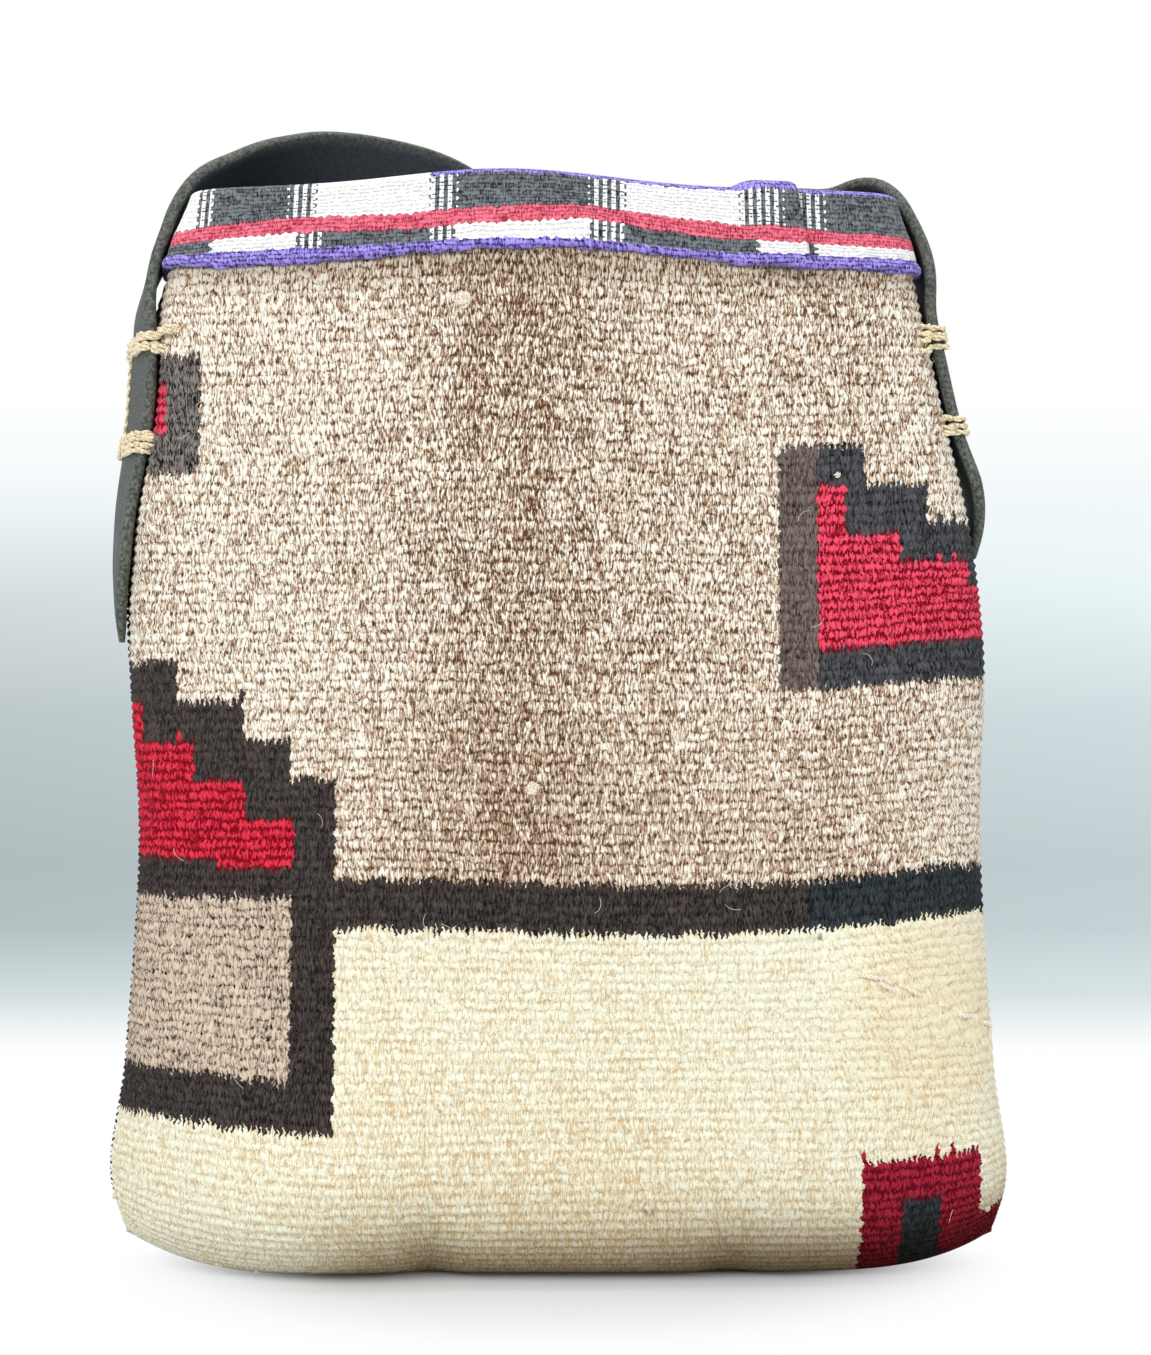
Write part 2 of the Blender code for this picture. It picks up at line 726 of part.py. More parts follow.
def make_lashing(name, side, edge, low, high, fibre):
    """A waxed cord as a bevelled curve with closed ends."""
    route = lashing_route(side, edge, low, high)
    data = bpy.data.curves.new(name, "CURVE")
    data.dimensions = "3D"
    data.bevel_depth = CORD_DIAMETER / 2
    data.bevel_resolution = 1
    data.use_fill_caps = True
    spline = data.splines.new("POLY")
    spline.points.add(len(route) - 1)
    for point, place in zip(spline.points, route):
        point.co = (*place, 1.0)
    data.materials.append(fibre)
    made = bpy.data.objects.new(name, data)
    bpy.context.scene.collection.objects.link(made)
    return made


def slot_boxes(side, edge, z):
    """Cutting boxes of one lashing: through the strap, through the side wall and through the rug panel."""
    slack = 2 * CORD_GAP + CORD_DIAMETER
    outward = Vector((1.0, 0.0, 0.0))
    sideways = Vector((0.0, 1.0, 0.0))
    up = Vector((0.0, 0.0, 1.0))
    hole_height = STRAP_TURN_PITCH * LASH_TURNS + slack
    rug_height = RUG_TURN_PITCH * (LASH_TURNS - 1) + slack + RIB_RELIEF
    strap = side_centre(side, z)
    hole = Vector((strap.x, hole_place(side, edge), z + STRAP_TURN_PITCH / 2))
    through_strap = box_points(hole, outward, sideways, up, (0.009, slack, hole_height))
    wall = Vector((side_x(side, z, WALL / 2 + 0.0010), hole.y, hole.z))
    through_wall = box_points(wall, outward, sideways, up, (2 * WALL, slack, hole_height))
    outside, inside = rug_passage(side, edge, z)
    passage = inside - outside
    passage.z = 0.0
    inward = passage.normalized()
    length = passage.length + 2 * CORD_DIAMETER
    place = (outside + inside) / 2
    through_panel = box_points(place, inward, inward.cross(up), up, (length, slack + 0.0004, rug_height))
    return through_strap, [through_wall, through_panel]


LASHINGS = (
    ("front_left_lashing", -1, -1, LASH_LOWER_LEFT, LASH_UPPER_LEFT),
    ("back_left_lashing", -1, 1, LASH_LOWER_LEFT, LASH_UPPER_LEFT),
    ("front_right_lashing", 1, -1, LASH_LOWER_RIGHT, LASH_UPPER_RIGHT),
    ("back_right_lashing", 1, 1, LASH_LOWER_RIGHT, LASH_UPPER_RIGHT),
)


def make_handbag():
    """Builds every piece in place."""
    wool = {
        "tan": material("wool_tan", TAN, 0.95),
        "cream": material("wool_cream", CREAM, 0.95),
        "black": material("wool_black", BLACK, 0.95),
        "red": material("wool_red", RED, 0.95),
        "crimson": material("wool_crimson", CRIMSON, 0.95),
    }
    cloth = {
        "band_white": material("band_white", (0.9, 0.88, 0.86, 1.0), 0.9),
        "band_black": material("band_black", (0.05, 0.045, 0.06, 1.0), 0.9),
        "band_red": material("band_red", RED, 0.9),
        "band_purple": material("band_purple", PURPLE, 0.9),
    }
    leather = material("strap_leather", LEATHER, 0.7)
    fibre = material("lashing_cord", CORD, 0.6)
    bag = make_bag(wool)
    make_band(cloth)
    strap = make_strap(leather)
    strap_slots = []
    wall_slots = []
    for name, side, edge, lower, upper in LASHINGS:
        low, high = BAG_HEIGHT - lower, BAG_HEIGHT - upper
        make_lashing(name, side, edge, low, high, fibre)
        for z in (low, high):
            through_strap, through_walls = slot_boxes(side, edge, z)
            strap_slots.append(through_strap)
            wall_slots += through_walls
    cut(strap, cutter_object("strap_slot_cutters", strap_slots))
    cut(bag, cutter_object("bag_slot_cutters", wall_slots))


for old in list(bpy.data.objects):
    bpy.data.objects.remove(old)
make_handbag()
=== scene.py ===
import math

import bmesh
import bpy
import numpy as np
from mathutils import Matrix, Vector


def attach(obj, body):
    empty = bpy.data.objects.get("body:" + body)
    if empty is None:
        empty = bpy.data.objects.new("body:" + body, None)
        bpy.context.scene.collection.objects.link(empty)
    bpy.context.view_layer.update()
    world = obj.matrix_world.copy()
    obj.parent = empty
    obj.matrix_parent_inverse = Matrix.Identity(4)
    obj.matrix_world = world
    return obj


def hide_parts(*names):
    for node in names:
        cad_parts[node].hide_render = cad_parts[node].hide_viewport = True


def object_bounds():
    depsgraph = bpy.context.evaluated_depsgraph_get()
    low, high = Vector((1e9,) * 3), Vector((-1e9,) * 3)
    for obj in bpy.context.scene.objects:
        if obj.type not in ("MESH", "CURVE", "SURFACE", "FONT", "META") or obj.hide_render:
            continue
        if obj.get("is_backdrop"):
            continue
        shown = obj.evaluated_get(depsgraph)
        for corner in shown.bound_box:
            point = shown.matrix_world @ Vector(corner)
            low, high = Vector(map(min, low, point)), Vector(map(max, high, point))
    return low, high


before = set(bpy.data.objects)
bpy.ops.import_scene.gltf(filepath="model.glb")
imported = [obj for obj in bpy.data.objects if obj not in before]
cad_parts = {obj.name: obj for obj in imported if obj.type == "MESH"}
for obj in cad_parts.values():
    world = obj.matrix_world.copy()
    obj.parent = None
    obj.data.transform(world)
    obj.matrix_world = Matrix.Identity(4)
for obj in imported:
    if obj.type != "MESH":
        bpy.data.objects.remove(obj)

cad_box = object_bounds()


# The camera stands level with the middle of the bag and looks straight at its front.
CAMERA_X, CAMERA_HEIGHT, CAMERA_AWAY = 0.0047, 0.167, 0.85
PICTURE_HIGH = 0.38714

camera = bpy.data.objects.new("camera", bpy.data.cameras.new("camera"))
bpy.context.scene.collection.objects.link(camera)
camera.data.sensor_width = 36
camera.data.lens = 36 * CAMERA_AWAY / PICTURE_HIGH
camera.location = (CAMERA_X, -CAMERA_AWAY, CAMERA_HEIGHT)
camera.rotation_euler = (math.pi / 2, 0, 0)
bpy.context.scene.camera = camera
bpy.context.scene.view_settings.view_transform = "Standard"


# A sheet of white paper lies under the bag and sweeps up behind it. It is painted plain, and only
# the camera sees it tinted: cool grey-blue behind the lower half of the bag, white above.
PAPER_HALF_WIDTH, PAPER_FRONT, PAPER_BEND, PAPER_RADIUS, PAPER_TOP = 2.2, -2.0, 0.32, 0.30, 2.2
PAPER_TINT_HIGH, SHADOW_REACH = 0.6, (8.2, 8.6, 40.0)


class Value:
    """A node's output. Sums that are written with it become Math nodes."""

    def __init__(self, socket):
        self.socket = socket
        self.tree = socket.id_data

    def __add__(self, other):
        return calc("ADD", self, other)

    def __radd__(self, other):
        return calc("ADD", other, self)

    def __sub__(self, other):
        return calc("SUBTRACT", self, other)

    def __rsub__(self, other):
        return calc("SUBTRACT", other, self)

    def __mul__(self, other):
        return calc("MULTIPLY", self, other)

    def __truediv__(self, other):
        return calc("DIVIDE", self, other)

    def __pow__(self, other):
        return calc("POWER", self, other)

    def __lt__(self, other):
        return calc("LESS_THAN", self, other)

    def __gt__(self, other):
        return calc("GREATER_THAN", self, other)

    def __abs__(self):
        return calc("ABSOLUTE", self)

    def __round__(self):
        return calc("ROUND", self)


class Placed:
    """A node, whose outputs are taken by name or number in square brackets."""

    def __init__(self, node):
        self.node = node

    def __getitem__(self, name):
        return Value(self.node.outputs[name])

    def __getattr__(self, name):
        return getattr(self.node, name)


def join_to(value, socket):
    """Joins a node's output to a socket, or sets the socket to a plain value."""
    if isinstance(value, Value):
        value.tree.links.new(value.socket, socket)
    else:
        socket.default_value = value


def place_node(tree, kind, values=None, **settings):
    """A node with these settings, its inputs joined or set by name or number."""
    made = tree.nodes.new(kind)
    for name, value in settings.items():
        setattr(made, name, value)
    for name, value in (values or {}).items():
        join_to(value, made.inputs[name])
    return Placed(made)


def calc(operation, *values, clamp=False):
    """A Math node's result."""
    tree = next(value.tree for value in values if isinstance(value, Value))
    values = dict(enumerate(values))
    return place_node(tree, "ShaderNodeMath", values, operation=operation, use_clamp=clamp)[0]


def vector_calc(operation, first, second=None):
    """A Vector Math node."""
    values = {0: first} if second is None else {0: first, 1: second}
    return place_node(first.tree, "ShaderNodeVectorMath", values, operation=operation)


def eased(value, low, high, to_low=0.0, to_high=1.0):
    """A smooth step of the value from low to high."""
    values = {0: value, 1: low, 2: high, 3: to_low, 4: to_high}
    return place_node(value.tree, "ShaderNodeMapRange", values, interpolation_type="SMOOTHSTEP")[0]


def object_place(tree):
    """The place on the object."""
    return place_node(tree, "ShaderNodeTexCoord")["Object"]


def srgb(red, green, blue):
    """A colour by its 0 to 255 values on a screen."""
    parts = np.array([red, green, blue]) / 255
    linear = np.where(parts <= 0.04045, parts / 12.92, ((parts + 0.055) / 1.055) ** 2.4)
    return (*(float(c) for c in linear), 1.0)


def colour_ramp(value, stops, interpolation="LINEAR"):
    """The colour at this value on a ramp through the stops, as (position, colour)."""
    ramp = place_node(value.tree, "ShaderNodeValToRGB", {0: value})
    ramp.color_ramp.interpolation = interpolation
    made = ramp.color_ramp.elements
    (made[0].position, made[0].color), (made[1].position, made[1].color) = stops[:2]
    for position, colour in stops[2:]:
        made.new(position).color = colour
    return ramp[0]


def new_material(name, roughness, **constants):
    """A material with its Principled shader, whose even values are set on the shader itself."""
    made = bpy.data.materials.new(name)
    made.use_nodes = True
    shader = Placed(made.node_tree.nodes["Principled BSDF"])
    shader.inputs["Roughness"].default_value = roughness
    for key, value in constants.items():
        shader.inputs[key.replace("_", " ")].default_value = value
    return made, made.node_tree, shader


profile = [(PAPER_FRONT, 0.0)]
for step in range(25):
    angle = math.pi / 2 * step / 24
    profile.append((PAPER_BEND + PAPER_RADIUS * math.sin(angle), PAPER_RADIUS * (1 - math.cos(angle))))
profile.append((PAPER_BEND + PAPER_RADIUS, PAPER_TOP))
paper_points = [(x, y, z) for y, z in profile for x in (-PAPER_HALF_WIDTH, PAPER_HALF_WIDTH)]
paper_faces = [(2 * i, 2 * i + 1, 2 * i + 3, 2 * i + 2) for i in range(len(profile) - 1)]
paper_mesh = bpy.data.meshes.new("paper_sweep")
paper_mesh.from_pydata(paper_points, [], paper_faces)
paper_mesh.shade_smooth()
paper = bpy.data.objects.new("paper_sweep", paper_mesh)
bpy.context.scene.collection.objects.link(paper)

paper_material, tree, shader = new_material("white_paper", 1.0, Specular_IOR_Level=0.0)
shader.inputs["Base Color"].default_value = (0.77, 0.80, 0.83, 1.0)
place = place_node(tree, "ShaderNodeSeparateXYZ", {0: object_place(tree)})
x, z = place[0], place[2]
# The tint by height, as (share of the height, screen colour).
PAPER_TONES = (
    (0.0, (255, 255, 255)),
    (0.018, (254, 255, 255)),
    (0.047, (214, 225, 228)),
    (0.09, (190, 201, 204)),
    (0.135, (186, 197, 200)),
    (0.25, (200, 211, 214)),
    (0.37, (228, 238, 241)),
    (0.45, (246, 251, 252)),
    (0.51, (255, 255, 255)),
)
tint = colour_ramp(z / PAPER_TINT_HIGH, [(share, srgb(*tone)) for share, tone in PAPER_TONES])
# Behind the bag the right is a little lighter than the left.
grey_part = eased(z, 0.012, 0.06) * eased(z, 0.27, 0.20)
glow = place_node(tree, "ShaderNodeEmission", {0: tint, 1: x * grey_part * 0.38 + 1.0})
# The floor round the bag stays real paper, so that it keeps the shadow.
ray = place_node(tree, "ShaderNodeLightPath")
seen = calc("MAXIMUM", ray["Is Camera Ray"], ray["Is Glossy Ray"])
reach = vector_calc("LENGTH", vector_calc("MULTIPLY", object_place(tree), SHADOW_REACH)[0])["Value"]
share = seen * eased(reach, 0.52, 1.08, 0.02, 1.0)
both = place_node(tree, "ShaderNodeMixShader", {0: share, 1: shader[0], 2: glow[0]})
# From behind, the bag is seen through the paper.
clear = place_node(tree, "ShaderNodeBsdfTransparent")
behind = place_node(tree, "ShaderNodeNewGeometry")["Backfacing"]
one_sided = place_node(tree, "ShaderNodeMixShader", {0: behind, 1: both[0], 2: clear[0]})
join_to(one_sided[0], tree.nodes["Material Output"].inputs[0])
paper_mesh.materials.append(paper_material)
paper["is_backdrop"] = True


# Daylight from a large window high on the left, and a white room all round.
def soft_lamp(name, place, aim, size, power):
    """A square area lamp that looks at a point."""
    data = bpy.data.lights.new(name, "AREA")
    data.size = size
    data.energy = power
    made = bpy.data.objects.new(name, data)
    bpy.context.scene.collection.objects.link(made)
    made.location = place
    made.rotation_euler = (Vector(aim) - Vector(place)).to_track_quat("-Z", "Y").to_euler()


soft_lamp("window_left", (-0.75, -1.1, 1.15), (0, 0, 0.17), 0.9, 13.0)
soft_lamp("window_right", (1.1, -1.3, 0.8), (0, 0, 0.17), 1.0, 7.0)
soft_lamp("skylight", (0.0, 0.22, 1.45), (0, 0, 0.1), 0.7, 7.0)
room = bpy.data.worlds.new("white_room")
bpy.context.scene.world = room
room.use_nodes = True
room.node_tree.nodes["Background"].inputs[0].default_value = (0.96, 0.98, 1.0, 1.0)
room.node_tree.nodes["Background"].inputs[1].default_value = 0.58


# The bag is one piece of tapestry-woven wool, folded in half under the bag and sewn up both
# sides. Its warps run across the bag, so each warp is a level rib, and the wefts that cover it
# show as short upright beads, laid like bricks. It is stuffed, stands on its fold and leans left.
BAG_WIDTH, BAG_HEIGHT, BAG_DEPTH, WALL = 0.2535, 0.3000, 0.074, 0.004
MOUTH_WIDTH, MOUTH_DEPTH, TOP_LEAN = 0.1945, 0.048, 0.0060
RIM_CROWN, RIM_LEFT_RISE = 0.0058, 0.0010
BASE_ROUND, CORNER_LIFT = 0.028, 0.0125
# How far the base lies flat on the floor, in front (-1) and behind (1) of its fold.
BASE_FLAT = {-1: 0.012, 1: 0.029}
PILLOW, TUCK = 0.007, 0.0045
WIDTHS = ((0.0, 0.975), (0.05, 1.0), (0.2, 0.972), (0.4, 0.943), (0.6, 0.953), (0.72, 0.928))
NECK = ((0.80, 0.22), (0.89, 0.45), (0.94, 0.63))
DEPTHS = ((0.0, 1.0), (0.1, 1.0), (0.3, 0.93), (0.6, 0.82), (0.8, 0.74))
LEANS = ((0.0, 0.0), (0.6, 0.2), (0.8, 0.8), (0.92, 1.0), (1.0, 0.70))
SQUARES = ((0.0, 2.6), (0.25, 2.8), (0.45, 3.1), (0.62, 5.0), (0.78, 6.5), (1.0, 6.5))
# The strap's left tail pulls the side it lies on round to the front: (height, move to the right, turn).
LEFT_PULL = (
    (0.150, 0.0, 0.0),
    (0.170, -0.0002, 0.08),
    (0.189, -0.0008, 0.19),
    (0.212, -0.0003, 0.25),
    (0.239, 0.0009, 0.31),
    (0.258, 0.0, 0.30),
    (0.270, -0.0010, 0.26),
    (0.284, -0.0003, 0.13),
    (0.298, 0.0, 0.0),
)
# Bulges and tucks of the front, as (height, place from the middle, place over the floor, width, length).
CREASES = (
    (0.0042, -0.073, 0.012, 0.030, 0.020),
    (-0.0030, -0.036, 0.008, 0.006, 0.014),
    (-0.0032, 0.047, 0.003, 0.007, 0.010),
    (0.0016, 0.010, 0.018, 0.030, 0.015),
    (0.0022, 0.095, 0.085, 0.016, 0.022),
    (-0.0020, 0.073, 0.094, 0.007, 0.010),
)
RIB_PITCH, RIB_RELIEF, BEAD_WIDTH = 0.00274, 0.00062, 0.00155
BAG_COLUMNS, ROWS_IN_A_RIB = 96, 4


def smooth_curve(at, values, where):
    """Values at these places on a smooth curve through the stations."""
    slope = np.gradient(values, at, axis=0)
    where = np.asarray(where, float)
    i = np.clip(np.searchsorted(at, where) - 1, 0, len(at) - 2)
    span = at[i + 1] - at[i]
    t = np.clip((where - at[i]) / span, 0.0, 1.0)
    if values.ndim > 1:
        span, t = span[:, None], t[:, None]
    from_last = (1 + 2 * t) * (1 - t) ** 2 * values[i] + t * (1 - t) ** 2 * span * slope[i]
    return from_last + t * t * (3 - 2 * t) * values[i + 1] - t * t * (1 - t) * span * slope[i + 1]


def through(stations, share):
    """The smooth curve through (share of the height, value) stations at these shares."""
    return smooth_curve(*np.array(stations).T, share)


def run_along(points):
    """How far each point is along its line."""
    return np.concatenate([[0.0], np.cumsum(np.linalg.norm(np.diff(points, axis=0), axis=1))])


def step_up(value, low, high):
    """A smooth step from 0 at low to 1 at high."""
    t = np.clip((np.asarray(value, float) - low) / (high - low), 0.0, 1.0)
    return t * t * (3 - 2 * t)


def half_width(z):
    """Half the bag's width at height z."""
    neck = WIDTHS[-1][1] * BAG_WIDTH
    stations = [(h, w * BAG_WIDTH) for h, w in WIDTHS]
    stations += [(h, neck + (MOUTH_WIDTH - neck) * w) for h, w in NECK] + [(1.0, MOUTH_WIDTH)]
    return through(stations, np.asarray(z) / BAG_HEIGHT) / 2


def half_depth(z):
    """Half the bag's depth at height z."""
    stations = [(h, d * BAG_DEPTH) for h, d in DEPTHS] + [(1.0, MOUTH_DEPTH)]
    return through(stations, np.asarray(z) / BAG_HEIGHT) / 2


def centre_x(z):
    """How far the bag leans at height z."""
    return -TOP_LEAN * through(LEANS, np.asarray(z) / BAG_HEIGHT)


def rim_lift(xi, side, z):
    """How far the rim's crown lifts the wall at height z."""
    crown = RIM_CROWN * np.exp(-(((xi + 0.12) / 0.48) ** 2)) * np.where(side < 0, 1.0, 0.6)
    top = np.clip(np.asarray(z) / BAG_HEIGHT - 0.6, 0.0, None) / 0.4
    return top * top * (crown + RIM_LEFT_RISE * ((1 - xi) / 2) ** 3)


def bump_at(x, z, at_x, at_z, wide, high):
    """A soft round bump of height 1."""
    return np.exp(-(((x - at_x) / wide) ** 2) - ((z - at_z) / high) ** 2)


def wall_points(xi, side, z, depth=0.0, share=1.0):
    """Points of the wall: xi from -1 left to 1 right, side -1 front and 1 back, depth inside the skin.

    A share below 1 brings them in towards the middle of the bag's depth.
    """
    xi, z = np.broadcast_arrays(np.asarray(xi, float), np.asarray(z, float))
    power = through(SQUARES, z / BAG_HEIGHT)
    x = centre_x(z) + (half_width(z) - depth) * xi
    y = share * (half_depth(z) - depth) * np.clip(1 - np.abs(xi) ** power, 0.0, None) ** (1 / power)
    across, up = x / BAG_WIDTH, z / BAG_HEIGHT
    pillow = PILLOW * bump_at(across, up, -0.30, 0.09, 0.15, 0.10)
    tuck = TUCK * bump_at(across, up, -0.145, 0.02, 0.035, 0.03)
    y = y + np.where(side < 0, share * (pillow - tuck) * (1 - np.abs(xi) ** 8), 0.0)
    corner = np.clip((np.abs(xi) - 0.55) / 0.45, 0.0, None) ** 3
    low = np.clip(1 - z / (0.2 * BAG_HEIGHT), 0.0, None) ** 2
    lift = corner * low * CORNER_LIFT * (0.7 + 0.3 * share)
    return np.stack([x, side * y, z + lift + rim_lift(xi, side, z)], axis=-1)


def side_pulled(points):
    """The points with the left side turned round to the front as its strap pulls it."""
    x, y, z = np.moveaxis(np.asarray(points, float), -1, 0)
    heights, shifts, turns = np.array(LEFT_PULL).T
    away = smooth_curve(heights, shifts, z) - smooth_curve(heights, turns, z) * np.clip(y, -0.015, 0.015)
    away *= (1 - 0.4 * step_up(-y, 0.015, 0.022)) * step_up(-x, 0.080, 0.122)
    return np.stack([x + away, y, z], axis=-1)


def base_arc(side):
    """Length of the rounding between the floor and the wall."""
    reach = BAG_DEPTH / 2 - BASE_FLAT[side]
    return math.pi / 2 * math.sqrt((reach**2 + BASE_ROUND**2) / 2)


def base_points(xi, side, turn, depth=0.0):
    """Points of the rounded base: turn is 0 where it leaves the floor and 1 where the wall starts."""
    flat = BASE_FLAT[side] / (BAG_DEPTH / 2)
    share = flat + (1 - flat) * math.sin(turn * math.pi / 2)
    z = depth + (BASE_ROUND - depth) * (1 - math.cos(turn * math.pi / 2))
    return wall_points(xi, side, z, depth, share)


def sag(u, v):
    """How far the ribs rise from level: most at the mended right edge, less at the lower left."""
    mend = 0.0955 - 0.53 * (u - 0.0727)
    right = 0.0042 * step_up(u, 0.062, 0.124) * step_up(v, mend - 0.011, mend + 0.001)
    right *= 1 - step_up(v, 0.176, 0.206)
    left = 0.0024 * step_up(-u, 0.055, 0.130) * step_up(v, -0.010, 0.045) * (1 - step_up(v, 0.060, 0.150))
    middle = 0.0009 * bump_at(u, v, 0.040, 0.10, 0.045, 0.02)
    ripple = 0.0006 * np.sin(u / 0.021 + 9.0 * v) * np.sin(v / 0.034 + 1.0)
    return right + left - middle + ripple


def creases(points, side, v):
    """Soft folds of the stuffed cloth, as a move of the points towards the outside."""
    x, z = points[..., 0], points[..., 2]
    xi = np.clip((x - centre_x(z)) / half_width(np.clip(z, 0.0, BAG_HEIGHT)), -1.0, 1.0)
    high = step_up(v, 0.17, 0.27)
    out = 0.0011 * np.sin(x / 0.0125 + 0.7 + 6 * z) * high
    out += 0.0009 * np.sin(x / 0.031 + 1.9) * (0.4 + 0.6 * high)
    out += 0.0012 * np.sin(z / 0.030 + x / 0.06 + 2.0) * step_up(v, 0.02, 0.06)
    if side < 0:
        out += sum(height * bump_at(x, z, *where) for height, *where in CREASES)
    return out * (1 - np.abs(xi) ** 6)


def even_columns(z, count):
    """Places from -1 to 1, evenly spaced round the front at height z, and their distances from its middle."""
    share = np.linspace(0.0, 1.0, 4001)
    run = run_along(wall_points(share, -1, z))
    away = np.linspace(0.0, run[-1], count // 2 + 1)
    place = np.interp(away, run, share)
    return np.concatenate([-place[:0:-1], place]), np.concatenate([-away[:0:-1], away])


columns, column_u = even_columns(0.15, BAG_COLUMNS)


def cloth_ring(front, back, v_front, v_back, raised):
    """One ring of the cloth: its points, its fabric coordinates and how far its ribs stand out."""
    maps = []
    for row, v in ((front, v_front), (back, v_back)):
        along = run_along(row[:, :2])
        u = along - np.interp(0.0, row[:, 0], along)
        maps.append(np.stack([u, np.full_like(u, v)], axis=-1))
    points = np.concatenate([front, back[-2:0:-1]])
    return points, np.concatenate([maps[0], maps[1][-2:0:-1]]), np.full(len(points), raised)


def skinned(rows, side, v):
    """The row with its creases, moved along its own outward direction in plan."""
    ahead = np.gradient(rows[:, :2], axis=0)
    out = np.stack([ahead[:, 1], -ahead[:, 0]], axis=-1) * (1 if side < 0 else -1)
    out /= np.linalg.norm(out, axis=1)[:, None] + 1e-12
    moved = rows.copy()
    moved[:, :2] += out * creases(rows, side, v)[:, None]
    return moved


# The cloth's rings, from the fold over the floor, up the outside, over the rim and down the inside.
SIDES = (-1, 1)
rings = []
for step in range(1, 7):
    rows = [wall_points(columns, s, 0.0, 0.0, BASE_FLAT[s] / (BAG_DEPTH / 2) * step / 6) for s in SIDES]
    v = [BASE_ROUND - base_arc(s) - BASE_FLAT[s] * (1 - step / 6) for s in SIDES]
    rings.append(cloth_ring(*rows, *v, 0.0))
turns = int(base_arc(-1) / RIB_PITCH * ROWS_IN_A_RIB)
for step in range(1, turns + 1):
    turn = step / turns
    v = [BASE_ROUND - (1 - turn) * base_arc(s) for s in SIDES]
    rows = []
    for side, h in zip(SIDES, v):
        row = base_points(columns, side, turn)
        row[:, 2] += sag(column_u, v[0]) * step_up(turn, 0.3, 1.0)
        rows.append(skinned(row, side, h) if turn > 0.1 else row)
    rings.append(cloth_ring(*rows, *v, float(step_up(turn, 0.05, 0.35))))
climb = RIB_PITCH / ROWS_IN_A_RIB
for v in np.arange(BASE_ROUND + climb, BAG_HEIGHT - 0.002, climb):
    z = v + sag(column_u, v) * (1 - step_up(v, 0.255, 0.285))
    rows = [skinned(wall_points(columns, s, z), s, v) for s in SIDES]
    rings.append(cloth_ring(*rows, v, v, float(1 - 0.7 * step_up(v, 0.280, 0.284))))
for below, depth in ((0.0008, WALL * 0.12), (0.0, WALL / 2), (0.0008, WALL * 0.88)):
    v = BAG_HEIGHT - below + depth
    rows = [wall_points(columns, s, BAG_HEIGHT - below, depth) for s in SIDES]
    rings.append(cloth_ring(*rows, v, v, 0.0))
for v in np.linspace(BAG_HEIGHT - 0.004, BASE_ROUND, 24):
    rings.append(cloth_ring(*(wall_points(columns, s, v, WALL) for s in SIDES), v, v, 0.0))
for turn in (0.75, 0.5, 0.25, 0.0):
    v = BASE_ROUND - (1 - turn) * base_arc(-1)
    rings.append(cloth_ring(*(base_points(columns, s, turn, WALL) for s in SIDES), v, v, 0.0))

# The fold itself is a line of points on each skin, joined to the rings beside it.
fold_v = np.full_like(column_u, BASE_ROUND - base_arc(-1) - BASE_FLAT[-1])
folds = []
for depth in (0.0, WALL):
    line = wall_points(columns, 1, depth, depth, 0.0)
    folds.append((line, np.stack([column_u, fold_v], axis=-1), np.zeros(len(line))))
bag_points, bag_maps, bag_raised = (np.concatenate(column) for column in zip(*rings, *folds))


def tube_faces(rings, points):
    """The faces of a tube made of rings of points, without its ends."""
    faces = []
    for i in range(rings - 1):
        for j in range(points):
            k = (j + 1) % points
            faces.append([i * points + j, i * points + k, (i + 1) * points + k, (i + 1) * points + j])
    return faces


count = len(rings[0][0])
bag_faces = tube_faces(len(rings), count)
inner_end, fold_start = (len(rings) - 1) * count, len(rings) * count
for fold, ring_start, step in ((fold_start, 0, 1), (fold_start + len(columns), inner_end, -1)):
    for i in range(BAG_COLUMNS):
        a, b = (count - i) % count, count - i - 1
        bag_faces.append([fold + i, fold + i + 1, ring_start + i + 1, ring_start + i][::step])
        bag_faces.append([fold + i, ring_start + a, ring_start + b, fold + i + 1][::step])


def mesh_piece(name, points, faces, uv):
    """A smooth mesh object at the origin, with a fabric map."""
    mesh = bpy.data.meshes.new(name)
    mesh.from_pydata([tuple(p) for p in points], [], faces)
    layer = mesh.uv_layers.new(name="fabric")
    loops = np.empty(len(mesh.loops), np.int32)
    mesh.loops.foreach_get("vertex_index", loops)
    layer.data.foreach_set("uv", np.asarray(uv, np.float32)[loops].ravel())
    mesh.shade_smooth()
    made = bpy.data.objects.new(name, mesh)
    bpy.context.scene.collection.objects.link(made)
    return made


def point_values(mesh, name, values):
    """A number on each point of the mesh."""
    layer = mesh.attributes.new(name, "FLOAT", "POINT")
    layer.data.foreach_set("value", np.asarray(values, np.float32))


def new_shape_tree(name, sockets):
    """A Geometry Nodes tree with these named inputs: (name, kind, value)."""
    made = bpy.data.node_groups.new(name, "GeometryNodeTree")
    made.interface.new_socket("Geometry", in_out="INPUT", socket_type="NodeSocketGeometry")
    made.interface.new_socket("Geometry", in_out="OUTPUT", socket_type="NodeSocketGeometry")
    for label, kind, value in sockets:
        socket = made.interface.new_socket(label, in_out="INPUT", socket_type=kind)
        if value is not None:
            socket.default_value = value
    return made, place_node(made, "NodeGroupInput"), place_node(made, "NodeGroupOutput")


def shape_piece(piece, tree, values):
    """Runs the tree on the piece with these inputs, and keeps the result as its plain mesh."""
    change = piece.modifiers.new(tree.name, "NODES")
    change.node_group = tree
    for item in tree.interface.items_tree:
        if item.in_out == "INPUT" and item.name in values:
            change[item.identifier] = values[item.name]
    graph = bpy.context.evaluated_depsgraph_get()
    kept = {"preserve_all_data_layers": True, "depsgraph": graph}
    mesh = bpy.data.meshes.new_from_object(piece.evaluated_get(graph), **kept)
    mesh.name = piece.name
    piece.modifiers.remove(change)
    piece.data = mesh


